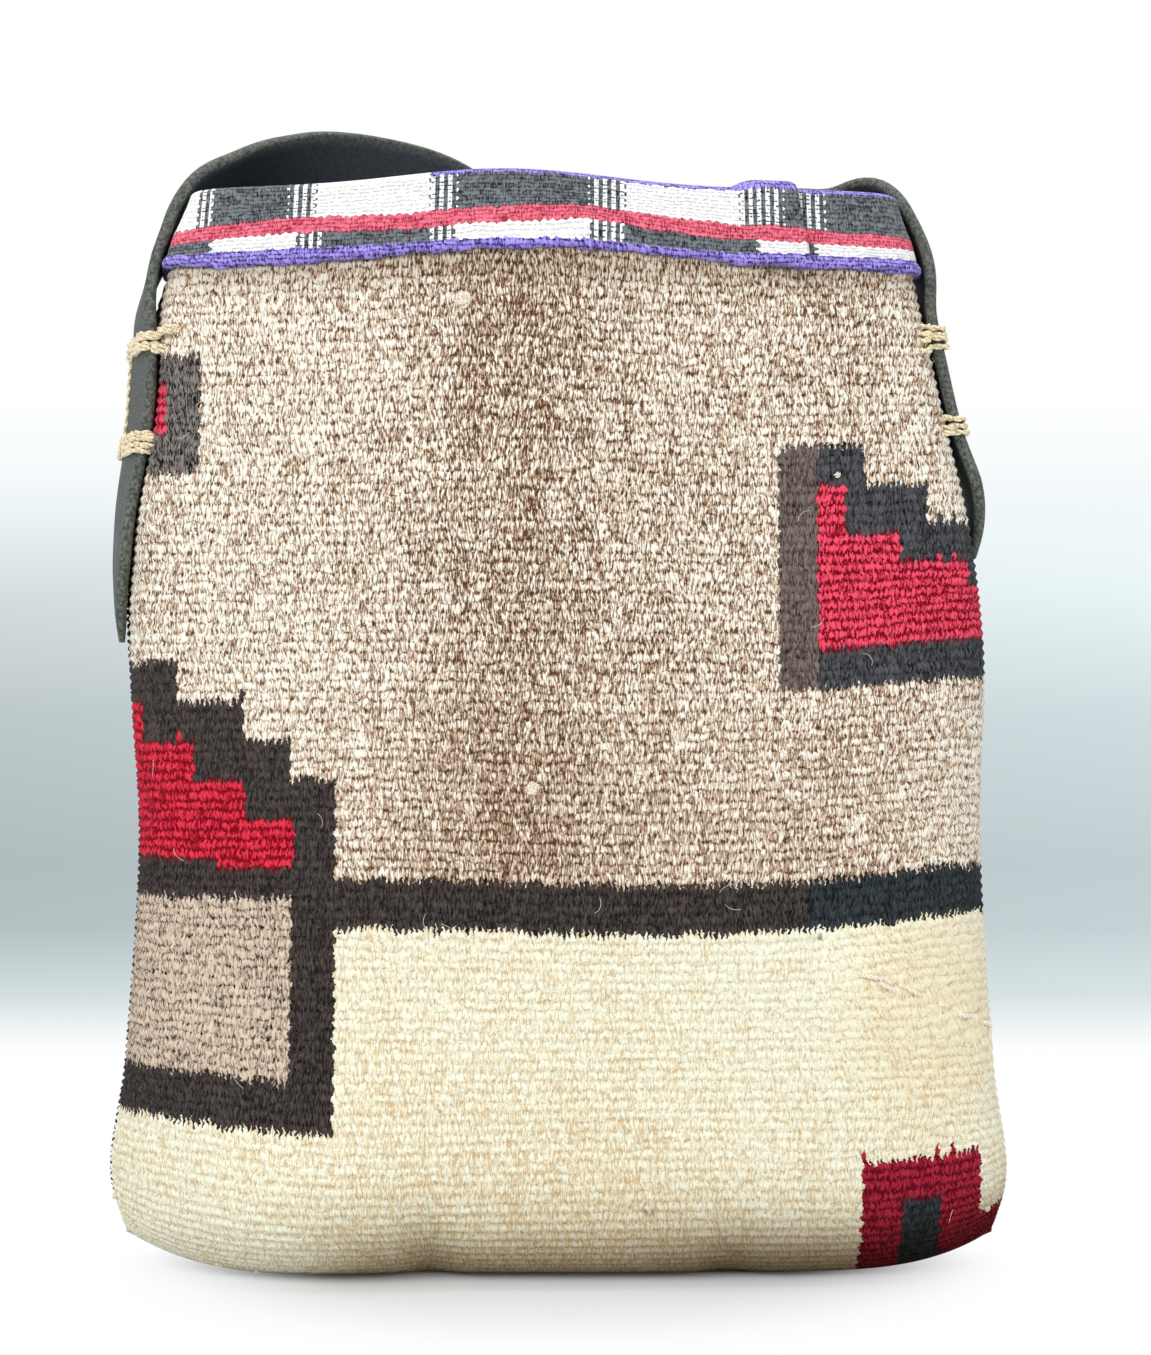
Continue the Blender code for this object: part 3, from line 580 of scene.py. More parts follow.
def closed_outwards(piece):
    """Turns the faces of a closed piece outwards."""
    work = bmesh.new()
    work.from_mesh(piece.data)
    bmesh.ops.recalc_face_normals(work, faces=work.faces)
    work.to_mesh(piece.data)
    work.free()


def clamped(value):
    """The value, kept from 0 to 1."""
    return calc("ADD", value, 0.0, clamp=True)


def within(value, middle, reach):
    """1 where the value is within this reach of the middle, and 0 elsewhere."""
    return calc("COMPARE", value, middle, reach)


def mixed_value(factor, first, second):
    """A plain number's mix."""
    values = {0: factor, 2: first, 3: second}
    return place_node(factor.tree, "ShaderNodeMix", values, data_type="FLOAT")[0]


def blended(factor, first, second, blend="MIX"):
    """A colour mix's result."""
    tree = (factor if isinstance(factor, Value) else first).tree
    values = {0: factor, 6: first, 7: second}
    return place_node(tree, "ShaderNodeMix", values, data_type="RGBA", blend_type=blend)[2]


def noise(place, scale, detail=2.0, roughness=0.5):
    """Noise at this place. Three numbers as its scale stretch it."""
    if isinstance(scale, tuple):
        place, scale = vector_calc("MULTIPLY", place, scale)[0], 1.0
    values = {"Vector": place, "Scale": scale, "Detail": detail, "Roughness": roughness}
    return place_node(place.tree, "ShaderNodeTexNoise", values)["Fac"]


def scaled(way, length):
    """The vector, this many times as long."""
    return place_node(way.tree, "ShaderNodeVectorMath", {0: way, "Scale": length}, operation="SCALE")[0]


def raise_surface(shader, height, strength, distance):
    """Bumps the shader's surface by this height."""
    values = {"Strength": strength, "Distance": distance, "Height": height}
    join_to(place_node(height.tree, "ShaderNodeBump", values)[0], shader.inputs["Normal"])


# Shared weave: beads laid like bricks over ribs, each with its own random number. With a Wobble of 1
# their outlines stray this far.
SHAKE_ALONG, SHAKE_ACROSS, SWAY = 0.0027, 0.0026, 0.0026
weave = bpy.data.node_groups.new("laid beads", "ShaderNodeTree")
for label in ("Along", "Across", "Bead Width", "Rib Pitch", "Tooth", "Slant", "Wobble"):
    weave.interface.new_socket(label, in_out="INPUT", socket_type="NodeSocketFloat")
for label in ("Along", "Across", "Profile", "Random", "Column", "Row", "Fibres"):
    weave.interface.new_socket(label, in_out="OUTPUT", socket_type="NodeSocketFloat")
into, out_of = place_node(weave, "NodeGroupInput"), place_node(weave, "NodeGroupOutput")
raw = place_node(weave, "ShaderNodeCombineXYZ", {0: into["Along"], 1: into["Across"]})[0]
shake = {"Vector": raw, "Scale": 620.0, "Detail": 2.0, "Roughness": 0.55}
shake = place_node(weave, "ShaderNodeTexNoise", shake)["Color"]
shake = place_node(weave, "ShaderNodeSeparateColor", {0: shake})
sway = (noise(raw, 190.0, 0.0) - 0.5) * into["Wobble"] * SWAY
a = (shake[0] - 0.5) * into["Wobble"] * SHAKE_ALONG + into["Along"]
b = (shake[1] - 0.5) * into["Wobble"] * SHAKE_ACROSS + into["Across"] + sway
a = a / into["Bead Width"]
b = b / into["Rib Pitch"]
row = round(b)
next_row = row + calc("SIGN", b - row)
candidates = []
for which in (row, next_row):
    above = b - which
    upright = above * into["Slant"] + a
    half = calc("PINGPONG", which, 1.0) * 0.5
    column = round(upright - half) + half
    aside = abs(upright - column) * 2.0
    cell = place_node(weave, "ShaderNodeCombineXYZ", {0: column * 2.0, 1: which})
    dice = place_node(weave, "ShaderNodeTexWhiteNoise", {"Vector": cell[0]}, noise_dimensions="2D")
    luck = place_node(weave, "ShaderNodeSeparateColor", {0: dice["Color"]})[1]
    above = abs(above)
    pointed = aside + above / (into["Tooth"] * (dice["Value"] * 0.7 + 0.62))
    plain = aside + above / 0.42
    swell = aside * aside * 0.38 + (above / 0.54) ** 3.0
    candidates.append((pointed, plain, which, column, swell, luck))
# The colour follows the long points of the beads, the relief follows their rows.
pointed = candidates[1][0] < candidates[0][0]
in_rows = candidates[1][1] < candidates[0][1]
chosen = []
for i, second in ((2, pointed), (3, pointed), (4, in_rows), (5, in_rows)):
    chosen.append(mixed_value(second, candidates[0][i], candidates[1][i]))
row, column, swell, luck = chosen

gaps = swell * eased(noise(raw, (1150.0, 620.0, 1.0), 1.0), 0.36, 0.62, 0.15, 1.35)
fibres = noise(raw, (2900.0, 560.0, 1.0), 3.0, 0.6)
for label, value in (
    ("Along", column * into["Bead Width"]),
    ("Across", row * into["Rib Pitch"]),
    ("Profile", clamped(1.10 - gaps)),
    ("Random", luck),
    ("Column", column),
    ("Row", row),
    ("Fibres", eased(fibres, 0.34, 0.66)),
):
    join_to(value, out_of.inputs[label])


def laid_beads(along, across, size, tooth, slant, wobble):
    """The weave at a place of the cloth's own map, with beads of this width and height."""
    values = {"Along": along, "Across": across, "Bead Width": size[0], "Rib Pitch": size[1]}
    values |= {"Tooth": tooth, "Slant": slant, "Wobble": wobble}
    return place_node(along.tree, "ShaderNodeGroup", values, node_tree=weave)


def fabric_map(tree):
    """The place on the cloth's own map, and its two numbers: metres along the ribs and across them."""
    place = place_node(tree, "ShaderNodeUVMap", uv_map="fabric")[0]
    numbers = place_node(tree, "ShaderNodeSeparateXYZ", {0: place})
    return place, numbers[0], numbers[1]


# The wools, as (shaded tone, lit tone): each bead takes a tone of its own between the two, by chance and by
# painted shade from its profile.
WOOLS = {
    "tan": ((94, 63, 42), (255, 224, 192)),
    "dark_tan": ((34, 24, 16), (236, 212, 188)),
    "cream": ((225, 195, 150), (255, 252, 222)),
    "brown_black": ((28, 24, 22), (90, 81, 77)),
    "blue_black": ((15, 18, 20), (66, 73, 77)),
    "dark_brown": ((40, 31, 27), (136, 120, 113)),
    "faded_black": ((10, 8, 8), (146, 137, 131)),
    "grey_black": ((13, 14, 16), (94, 95, 98)),
    "red": ((136, 6, 26), (255, 86, 112)),
    "deep_red": ((138, 6, 28), (240, 58, 80)),
    "crimson": ((108, 8, 30), (182, 44, 66)),
}
# The woven design, as (from u, to u, from v, to v, wool) in metres along the cloth: later lies over earlier.
DESIGN = (
    (-0.20, 0.20, -0.20, 0.0970, "cream"),
    (-0.20, 0.0684, 0.0970, 0.1106, "brown_black"),
    (0.0684, 0.20, 0.0970, 0.1106, "blue_black"),
    (-0.20, -0.0620, 0.0425, 0.1382, "brown_black"),
    (-0.20, -0.0742, 0.0569, 0.1048, "dark_tan"),
    (-0.20, -0.0742, 0.1145, 0.1498, "brown_black"),
    (-0.20, -0.0874, 0.1145, 0.1613, "brown_black"),
    (-0.20, -0.1062, 0.1145, 0.1720, "brown_black"),
    (-0.0950, -0.0732, 0.1137, 0.1277, "deep_red"),
    (-0.20, -0.0732, 0.1164, 0.1277, "deep_red"),
    (-0.20, -0.0870, 0.1164, 0.1391, "deep_red"),
    (-0.20, -0.1018, 0.1164, 0.1504, "deep_red"),
    (-0.20, -0.1190, 0.1164, 0.1606, "deep_red"),
    (0.0606, 0.20, 0.1636, 0.2029, "grey_black"),
    (0.0606, 0.20, 0.1636, 0.2108, "grey_black"),
    (0.0606, 0.1027, 0.1636, 0.2204, "grey_black"),
    (0.0606, 0.0845, 0.1636, 0.2319, "grey_black"),
    (0.0606, 0.0715, 0.1636, 0.2319, "dark_brown"),
    (0.0715, 0.20, 0.1746, 0.1903, "red"),
    (0.0715, 0.1155, 0.1746, 0.1998, "red"),
    (0.0715, 0.0950, 0.1746, 0.2078, "red"),
    (0.0715, 0.0794, 0.1746, 0.2202, "red"),
    (-0.20, -0.1008, 0.2230, 0.2562, "faded_black"),
    (-0.20, -0.1124, 0.2349, 0.2477, "red"),
    (0.0838, 0.1207, -0.20, 0.0353, "crimson"),
    (0.1207, 0.20, -0.20, 0.0118, "crimson"),
    (0.0956, 0.1070, -0.20, 0.0240, "blue_black"),
)
# Small marks on the cloth, as (u, v, size, strength): stains and a mended notch.
MARKS = (
    (0.0251, 0.0215, 0.0030, 0.55),
    (0.0190, 0.0225, 0.0016, 0.45),
    (0.0335, 0.0200, 0.0012, 0.5),
    (0.0456, 0.0363, 0.0012, 0.6),
    (-0.0323, 0.0488, 0.0009, 0.55),
    (0.0727, 0.0955, 0.0015, 0.9),
)

HALF_STEP = 0.5 / len(WOOLS)


def place_of(wool):
    """The wool's number, from 0 to 1."""
    return list(WOOLS).index(wool) / len(WOOLS) + HALF_STEP


wool_looks = {"Specular_IOR_Level": 0.05, "Sheen_Weight": 0.02, "Sheen_Roughness": 0.5}
rug_wool, tree, shader = new_material("rug_wool", 0.95, **wool_looks)
cloth_map, along, across = fabric_map(tree)
# Below the bar on the right the cloth is mended: its beads lean there. Elsewhere they lean a little
# either way.
under_bar = eased(across, 0.0985, 0.0955) * eased(across, 0.046, 0.062)
mended = under_bar * eased(along, 0.072, 0.082)
lean = mended * 0.6 + (noise(cloth_map, 75.0, 1.0) - 0.5) * 1.3
beads = laid_beads(along, across, (BEAD_WIDTH, RIB_PITCH), 0.95, lean, 1.0)
# The fields' edges step up and down a little from bead to bead.
per_column = {"W": beads["Column"]}
per_column = place_node(tree, "ShaderNodeTexWhiteNoise", per_column, noise_dimensions="1D")["Value"]
bead_v = beads["Across"] + (per_column - 0.5) * (RIB_PITCH * 0.3)
which = place_of("tan")
for u0, u1, v0, v1, wool in DESIGN:
    in_u = within(beads["Along"], (u0 + u1) / 2, (u1 - u0) / 2)
    in_v = within(bead_v, (v0 + v1) / 2, (v1 - v0) / 2)
    which = mixed_value(in_u * in_v, which, place_of(wool))
tones = []
for i in range(2):
    steps = [(place_of(wool) - HALF_STEP, srgb(*pair[i])) for wool, pair in WOOLS.items()]
    tones.append(colour_ramp(which, steps, "CONSTANT"))
undyed = which < place_of("cream") + HALF_STEP
reddish = which > place_of("red") - HALF_STEP
creamy, faded, dark_tan = (
    within(which, place_of(wool), HALF_STEP * 0.8) for wool in ("cream", "faded_black", "dark_tan")
)
# Within a row the yarn's turns show as short commas, which lean as the beads do.
in_row = across - beads["Across"]
comma_u = in_row * (lean * 0.9) + along
commas = {0: comma_u * 1600.0, 1: across * 320.0, 2: beads["Row"] * 5.7}
commas = noise(place_node(tree, "ShaderNodeCombineXYZ", commas)[0], 1.0, 1.0)
commas = eased(commas, 0.34, 0.68)
# How light the yarn is: each bead by chance, each fibre, and each batch and cloud of the wool.
batch = noise(cloth_map, (150.0, 7.0, 1.0), 1.0)
cloud = noise(cloth_map, 22.0)
tone = 0.0
for part, weight in (
    (beads["Random"], 0.26),
    (commas, 0.90),
    (beads["Fibres"], 0.9),
    (batch, 0.32),
    (cloud, 0.28),
):
    tone = (part - 0.5) * weight + tone
strong = calc("MAXIMUM", undyed, reddish)
strength = faded * 0.40 + strong * 0.34 + creamy * 0.50 + reddish * 0.12 + 0.66
tone = tone * strength * (eased(across, 0.195, 0.125) * undyed * -0.28 + 1.0)
# Bands of lightness along the ribs, as (place along the ribs, lightness): partly wool from different
# fleeces and partly painted light and shade, darker down the middle and lighter towards the lit left edge.
FLEECE_AND_LIGHT_BANDS = (
    (-0.125, 0.61),
    (-0.095, 0.70),
    (-0.060, 0.64),
    (-0.034, 0.45),
    (-0.020, 0.31),
    (-0.004, 0.35),
    (0.012, 0.47),
    (0.050, 0.57),
    (0.068, 0.50),
    (0.084, 0.42),
    (0.105, 0.66),
    (0.125, 0.66),
)
bands = [(u * 4.0 + 0.5, (shade, shade, shade, 1.0)) for u, shade in FLEECE_AND_LIGHT_BANDS]
fleece_and_painted_light = colour_ramp(along * 4.0 + 0.5, bands, "B_SPLINE")
low_tan = eased(across, 0.170, 0.112) * eased(along, 0.088, 0.060)
plain = mixed_value(undyed, 0.5, fleece_and_painted_light) + reddish * 0.06 - low_tan * 0.10
falling = eased(across, 0.078, 0.022) * eased(along, -0.085, -0.045)
cream_tone = eased(along, 0.010, 0.065, 0.78, 0.98) - falling * 0.26
tone = tone + mixed_value(creamy, plain, cream_tone)
# Painted shade: by its profile each bead is lighter on its top and darker towards the gaps round it.
bead_shade_depth = undyed * 0.32 + reddish * 0.55 + 0.30 - creamy * 0.22
lit = (beads["Profile"] - 0.6) * bead_shade_depth + tone
# Painted shade darkens the red yarns between their rows, so that the rows part in level lines.
painted_row_shade = (abs(in_row) / (RIB_PITCH * 0.62)) ** 2.5
lit = lit - painted_row_shade * reddish * 0.85
colour = blended(clamped(lit), *tones)
# Painted highlight: the tops of the undyed yarn are whitened, as if nearly white in the light.
gleam = eased(lit, 0.62, 1.08) * (undyed - dark_tan - creamy * 0.55)
colour = blended(gleam, colour, srgb(255, 254, 240))
# The mended corner was rewoven in a warmer yarn. Towards the fold the cloth is darker, partly with dirt
# where the bag stands on it and partly with painted shade where it turns under to the floor, and a
# painted shadow greys the cloth under the strip at the mouth.
warm = eased(vector_calc("DISTANCE", cloth_map, (0.106, 0.073, 0.0))["Value"], 0.042, 0.012, 0.0, 0.6)
# Darker towards the fold: dirt and painted shade.
dirt_and_base_shade = eased(across, 0.040, -0.004) * eased(along, -0.085, -0.050, 0.1, 0.85)
dirt_and_floor_shade_left = eased(across, 0.020, -0.002) * eased(along, -0.078, -0.045)
dirt_and_floor_shade_right = eased(across, 0.026, 0.002) * eased(along, 0.012, 0.050)
# Painted shadow under the strip.
painted_strip_shadow = eased(across, 0.269, 0.279) * 0.8
for share, tint in (
    (warm, srgb(252, 238, 218)),
    (dirt_and_base_shade, srgb(212, 203, 194)),
    (dirt_and_floor_shade_left, srgb(206, 199, 190)),
    (dirt_and_floor_shade_right, srgb(206, 199, 190)),
    (painted_strip_shadow, srgb(214, 206, 198)),
):
    colour = blended(share, colour, tint, "MULTIPLY")
dirt = 0.0
for u, v, size, strength in MARKS:
    gap = vector_calc("DISTANCE", cloth_map, (u, v, 0.0))["Value"]
    dirt = calc("MAXIMUM", eased(gap, size, size * 0.35, 0.0, strength), dirt)
dirt = dirt * eased(beads["Random"], 0.75, 0.25)
colour = blended(dirt, colour, srgb(96, 72, 48))
join_to(colour, shader.inputs["Base Color"])
height = beads["Fibres"] * 0.25 + beads["Profile"] * 0.75 + commas * 0.30
raise_surface(shader, height, 0.85, 0.0006)

# The ribs stand out of the skin along its normal, one to each warp.
ribs, into, out_of = new_shape_tree("raised ribs", (
    ("Rib Pitch", "NodeSocketFloat", RIB_PITCH),
    ("Rib Relief", "NodeSocketFloat", RIB_RELIEF),
    ("Wool", "NodeSocketMaterial", None),
))
kind = "GeometryNodeInputNamedAttribute"
cloth = place_node(ribs, kind, {"Name": "fabric"}, data_type="FLOAT_VECTOR")[0]
stand = place_node(ribs, kind, {"Name": "raised"}, data_type="FLOAT")[0]
cloth_v = place_node(ribs, "ShaderNodeSeparateXYZ", {0: cloth})[1]
phase = cloth_v / into["Rib Pitch"] * (2 * math.pi)
rise = calc("COSINE", phase) * into["Rib Relief"] * stand * 0.5
offset = scaled(place_node(ribs, "GeometryNodeInputNormal")[0], rise)
raised = place_node(ribs, "GeometryNodeSetPosition", {0: into[0], "Offset": offset})[0]
real = place_node(ribs, "GeometryNodeRealizeInstances", {0: raised})[0]
dressed = place_node(ribs, "GeometryNodeSetMaterial", {0: real, "Material": into["Wool"]})[0]
join_to(dressed, out_of.inputs[0])

bag = mesh_piece("rug_bag", side_pulled(bag_points), bag_faces, bag_maps)
point_values(bag.data, "raised", bag_raised)
closed_outwards(bag)
shape_piece(bag, ribs, {"Rib Pitch": RIB_PITCH, "Rib Relief": RIB_RELIEF, "Wool": rug_wool})
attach(bag, "root")
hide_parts("bag_body")


# The mouth is bound with a narrow strip of patterned cloth, folded over the rim with its left end
# lapped over its right one. Its edges are rolled and purple, and dark and white blocks change
# places above and below a red stripe.
BAND_HEIGHT, BAND_THICKNESS, BAND_LIP, SEAT_GAP = 0.0192, 0.0018, 0.005, 0.0004
BAND_COLUMNS, BAND_START, BAND_END = 200, 0.61, 0.702
BAND_BEAD, BAND_ROW, STRIPE_V = 0.0024, 0.00104, 0.2898
# The strip is measured along this point of its section, in the middle of its face.
FACE_POINT = 14


def band_rows(extra, drop):
    """The strip's closed section, as (height over the rim, depth, fabric height).

    It lies further out by extra, and its lower edge is higher by drop.
    """
    near = SEAT_GAP + extra
    far = near + BAND_THICKNESS
    foot = -BAND_HEIGHT + drop
    rows = []
    for t in np.linspace(0.0, 1.0, 30) ** 1.15:
        h = foot * (1 - t)
        up = (h - foot) / 0.0014
        edge = np.sqrt(1 - np.clip(1 - up, 0.0, 1.0) ** 2)
        roll = sum(
            height * np.exp(-(((place - middle) / wide) ** 2))
            for height, place, middle, wide in (
                (0.00055, h - foot, 0.0018, 0.0013),
                (-0.00025, h - foot, 0.0040, 0.0007),
                (0.00018, h, -0.0104, 0.0018),
                (0.0003, h, 0.0, 0.0016),
            )
        )
        rows.append((h, -near - (far - near + roll) * edge, BAG_HEIGHT + h))
    for angle in np.linspace(0.0, math.pi, 12)[1:-1]:
        h = (far + 0.0002) * math.sin(angle) ** 0.8
        rows.append((h, WALL / 2 - (WALL / 2 + far + 0.0002) * math.cos(angle), BAG_HEIGHT + 0.0031 * angle))
    v = BAG_HEIGHT + 0.0031 * math.pi
    rows += [(-BAND_LIP * t, WALL + far, v + BAND_LIP * t) for t in (0.0, 0.33, 0.66, 1.0)]
    rows += [(-BAND_LIP * t, WALL + near, v + BAND_LIP) for t in (1.0, 0.5, 0.0)]
    rows += [(near * 0.9, WALL * t, BAG_HEIGHT) for t in (0.7, 0.3)]
    rows += [(foot * t, -near, BAG_HEIGHT + foot * t) for t in (0.0, 0.35, 0.7)]
    return rows


band_xi, band_u = even_columns(0.290, BAND_COLUMNS)
# How far the lower edge is pulled up or down, and the woven stripe strays up or down, in front.
EDGE_DROP = (
    (-0.099, 0.0), (-0.086, -0.0013), (-0.066, -0.0010), (-0.036, 0.0), (-0.008, 0.0006), (0.013, 0.0017),
    (0.033, 0.0016), (0.054, 0.0), (0.066, -0.0009), (0.080, -0.0008), (0.100, -0.0014),
)
STRIPE_WAVE = (
    (-0.099, -0.0015), (-0.089, -0.0005), (-0.066, 0.0011), (-0.036, -0.0003), (-0.008, 0.0007),
    (0.013, 0.0027), (0.033, 0.0014), (0.054, -0.0003), (0.066, -0.0009), (0.100, -0.0023),
)
band_drop = np.interp(band_u, *np.array(EDGE_DROP).T)
band_drop += 0.00022 * np.sin(band_u / 0.0031) + 0.00016 * np.sin(band_u / 0.0013 + 1.0)
band_wave = np.interp(band_u, *np.array(STRIPE_WAVE).T)
band_runs = []
for keep, side in ((band_xi >= BAND_START, -1), (np.abs(band_xi) < 0.9999, 1), (band_xi <= BAND_END, -1)):
    xi = band_xi[keep]
    # The last run ends over the first one.
    last = side < 0 and xi[0] < -0.5
    extra = (SEAT_GAP + BAND_THICKNESS) * step_up(xi, 0.53, 0.60) if last else np.zeros(len(xi))
    wave = 1.0 if side < 0 else 0.3
    grid = []
    for h, depth, v in band_rows(extra, band_drop[keep] * wave):
        h, depth, v = (np.broadcast_to(part, xi.shape) for part in (h, depth, v))
        row = wall_points(xi, side, np.minimum(BAG_HEIGHT + h, BAG_HEIGHT), depth)
        row[:, 2] += np.maximum(h, 0.0)
        row = skinned(row, side, 0.285)
        v = v - band_wave[keep] * wave * np.exp(-(((h + 0.0100) / 0.0055) ** 2))
        grid.append(np.concatenate([row, v[:, None]], axis=1))
    grid = np.array(grid).swapaxes(0, 1)
    band_runs.append(grid[::-1] if side > 0 else grid)
band_grid = np.concatenate(band_runs)
face_x = band_grid[:, FACE_POINT, 0]
strip = run_along(band_grid[:, FACE_POINT, :2]) + np.interp(BAND_START, band_xi, band_u)
front_start = len(band_runs[0]) + len(band_runs[1])
FRONT_MIDDLE = float(np.interp(0.0, face_x[front_start:], strip[front_start:]))

# The strip's blocks stand upright, though its columns lean with the neck.
upright = (band_grid[:, :, 0] - face_x[:, None]) * step_up(-band_grid[:, :, 1], 0.002, 0.012)
band_maps = np.stack([(strip[:, None] + 0.85 * upright).ravel(), band_grid[:, :, 3].ravel()], axis=-1)


def closed_tube(rings, points):
    """The faces of a tube made of rings of points, with both its ends."""
    ends = [list(range(points))[::-1], [(rings - 1) * points + j for j in range(points)]]
    return tube_faces(rings, points) + ends


band_points = side_pulled(band_grid[:, :, :3].reshape(-1, 3))
band = mesh_piece("mouth_binding", band_points, closed_tube(*band_grid.shape[:2]), band_maps)
closed_outwards(band)

# Along the strip, where its blocks are dark (1), light (0) or change thread by thread (0.5). Those in
# front are measured from the middle of the front.
BLOCKS_FROM, BLOCKS_LONG = 0.05, 0.60
UPPER_BLOCKS = (
    (0.0500, 0.0), (0.0662, 0.5), (0.0753, 1.0), (0.1150, 0.5), (0.1180, 0.0), (0.1500, 0.5),
    (0.1530, 1.0), (0.1880, 0.5), (0.1910, 0.0), (0.2220, 0.5), (0.2250, 1.0), (0.2580, 0.5),
    (0.2610, 0.0), (0.2900, 0.5), (0.2930, 1.0), (0.3180, 0.5), (0.3210, 0.0),
)
UPPER_FRONT = (
    (-0.1015, 0.5), (-0.0988, 1.0), (-0.0779, 0.5), (-0.0692, 0.0), (-0.0360, 0.5), (-0.0288, 1.0),
    (0.0067, 0.5), (0.0162, 0.0), (0.0506, 0.5), (0.0623, 1.0),
)
LOWER_BLOCKS = (
    (0.0500, 1.0), (0.0732, 0.0), (0.1080, 0.5), (0.1120, 1.0), (0.1450, 0.5), (0.1480, 0.0),
    (0.1830, 0.5), (0.1870, 1.0), (0.2160, 0.5), (0.2200, 0.0), (0.2520, 0.5), (0.2560, 1.0),
    (0.2850, 0.5), (0.2890, 0.0), (0.3120, 0.5), (0.3160, 1.0),
)
LOWER_FRONT = (
    (-0.0988, 0.0), (-0.0738, 0.5), (-0.0674, 1.0), (-0.0370, 0.5), (-0.0300, 0.0), (0.0083, 0.5),
    (0.0170, 1.0), (0.0539, 0.0),
)
BAND_PURPLE = (srgb(50, 36, 104), srgb(178, 158, 250))
BAND_RED = (srgb(160, 18, 44), srgb(255, 124, 146))
BAND_DARK = (srgb(20, 23, 27), srgb(126, 131, 135))
BAND_WHITE = (srgb(236, 232, 226), srgb(255, 255, 255))

band_cloth, tree, shader = new_material("band_cloth", 0.9, Specular_IOR_Level=0.2, Sheen_Weight=0.1)
strip_map, along, across = fabric_map(tree)
floats = laid_beads(along, across, (BAND_BEAD, BAND_ROW), 0.56, 0.0, 0.35)
rolled = laid_beads(along, across, (0.0017, 0.00115), 0.70, 0.5, 0.35)


def block_kind(place, blocks, front):
    """The block's kind at a place along the strip."""
    stops = []
    for edge, kind in (*blocks, *((FRONT_MIDDLE + edge, kind) for edge, kind in front)):
        stops.append(((edge - BLOCKS_FROM) / BLOCKS_LONG, (kind, kind, kind, 1.0)))
    return colour_ramp((place - BLOCKS_FROM) / BLOCKS_LONG, stops, "CONSTANT")


bead_v = floats["Across"]
upper = block_kind(floats["Along"], UPPER_BLOCKS, UPPER_FRONT)
lower = block_kind(floats["Along"], LOWER_BLOCKS, LOWER_FRONT)
kind = mixed_value(bead_v > STRIPE_V, lower, upper)
bars = calc("PINGPONG", along / 0.0012, 1.0) > 0.5
bars = calc("MAXIMUM", bars, floats["Profile"] < 0.55)
dark = mixed_value(within(kind, 0.5, 0.2), kind, bars) > 0.5
# Each bead's tone varies by chance and with its fibres, and its profile adds painted shade, darker towards
# its edges.
tone = (floats["Fibres"] - 0.5) * 0.9 + 0.5 + (floats["Random"] - 0.5) * 0.55
tone = clamped((floats["Profile"] - 0.6) * 0.5 + tone)
colour = blended(dark, blended(tone, *BAND_WHITE), blended(tone, *BAND_DARK))
colour = blended(within(bead_v, STRIPE_V, 0.0021), colour, blended(tone, *BAND_RED))
# The purple rolls are lighter on their tops by painted light from their profile.
purple_tone = (rolled["Random"] - 0.5) * 0.6 + (rolled["Fibres"] - 0.5) * 0.8 + rolled["Profile"]
purple_tone = clamped(purple_tone - 0.30)
# The purple rolls run along both edges of the strip, a little ragged.
top_edge = mixed_value(within(along, FRONT_MIDDLE - 0.075, 0.039), 0.3008, 0.3036)
ragged = (noise(strip_map, 700.0) - 0.5) * 0.0022 + across
over_top = (ragged > top_edge) * (ragged < 0.3062)
purple = calc("MAXIMUM", over_top, ragged < 0.2839)
colour = blended(purple, colour, blended(purple_tone, *BAND_PURPLE))
profile_mix = mixed_value(purple, floats["Profile"], rolled["Profile"])
pale = (1.0 - dark) * (1.0 - purple)
depth = 0.42 - pale * 0.24
shade = clamped(profile_mix * depth + 1.04 - depth)
join_to(blended(1.0, colour, shade, "MULTIPLY"), shader.inputs["Base Color"])
raise_surface(shader, floats["Fibres"] * 0.25 + profile_mix, 0.8, 0.0004)
band.data.materials.append(band_cloth)
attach(band, "root")
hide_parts("mouth_band")


# The shoulder strap is one thick leather strip, dark grey-green outside, with raw cut edges; its inner
# face is dark leather, painted nearly black with painted shade added. Both pointed tails are laced flat
# to the bag's sides, and its slack rises in two arches over the corners of the mouth and hangs in a
# loop behind the back.
STRAP_WIDTH, STRAP_THICKNESS, STRAP_POINT, STRAP_DROP = 0.030, 0.0034, 0.022, 0.165
TAIL_LEFT, TAIL_RIGHT = 0.123, 0.099
DROOP_LEFT, DROOP_RIGHT = 0.06, 0.50
# The arches, as (place across the mouth from -1 to 1, y, height over the rim, lean in degrees).
LEFT_ARCH = (
    (-1.097, 0.0010, -0.0075, 1.0),
    (-1.065, 0.0020, 0.0000, 3.0),
    (-1.020, 0.0060, 0.0060, 7.0),
    (-0.950, 0.0120, 0.0094, 22.0),
    (-0.859, 0.0175, 0.0111, 42.0),
    (-0.773, 0.0225, 0.0119, 58.0),
    (-0.680, 0.0275, 0.0130, 72.0),
    (-0.490, 0.0340, 0.0120, 86.0),
    (-0.290, 0.0385, 0.0062, 96.0),
    (-0.110, 0.0420, -0.0080, 112.0),
    (0.010, 0.0460, -0.0300, 132.0),
)
RIGHT_ARCH = (
    (0.557, 0.0435, -0.0320, 126.0),
    (0.588, 0.0410, -0.0190, 106.0),
    (0.660, 0.0375, -0.0080, 80.0),
    (0.758, 0.0335, -0.0022, 56.0),
    (0.830, 0.0290, 0.0010, 40.0),
    (0.883, 0.0252, 0.0028, 26.0),
    (0.933, 0.0210, 0.0042, 14.0),
    (0.982, 0.0162, 0.0046, 5.0),
    (1.024, 0.0116, 0.0028, 1.0),
    (1.057, 0.0076, -0.0015, 0.0),
    (1.083, 0.0042, -0.0075, 0.0),
    (1.107, 0.0015, -0.0140, 0.0),
)


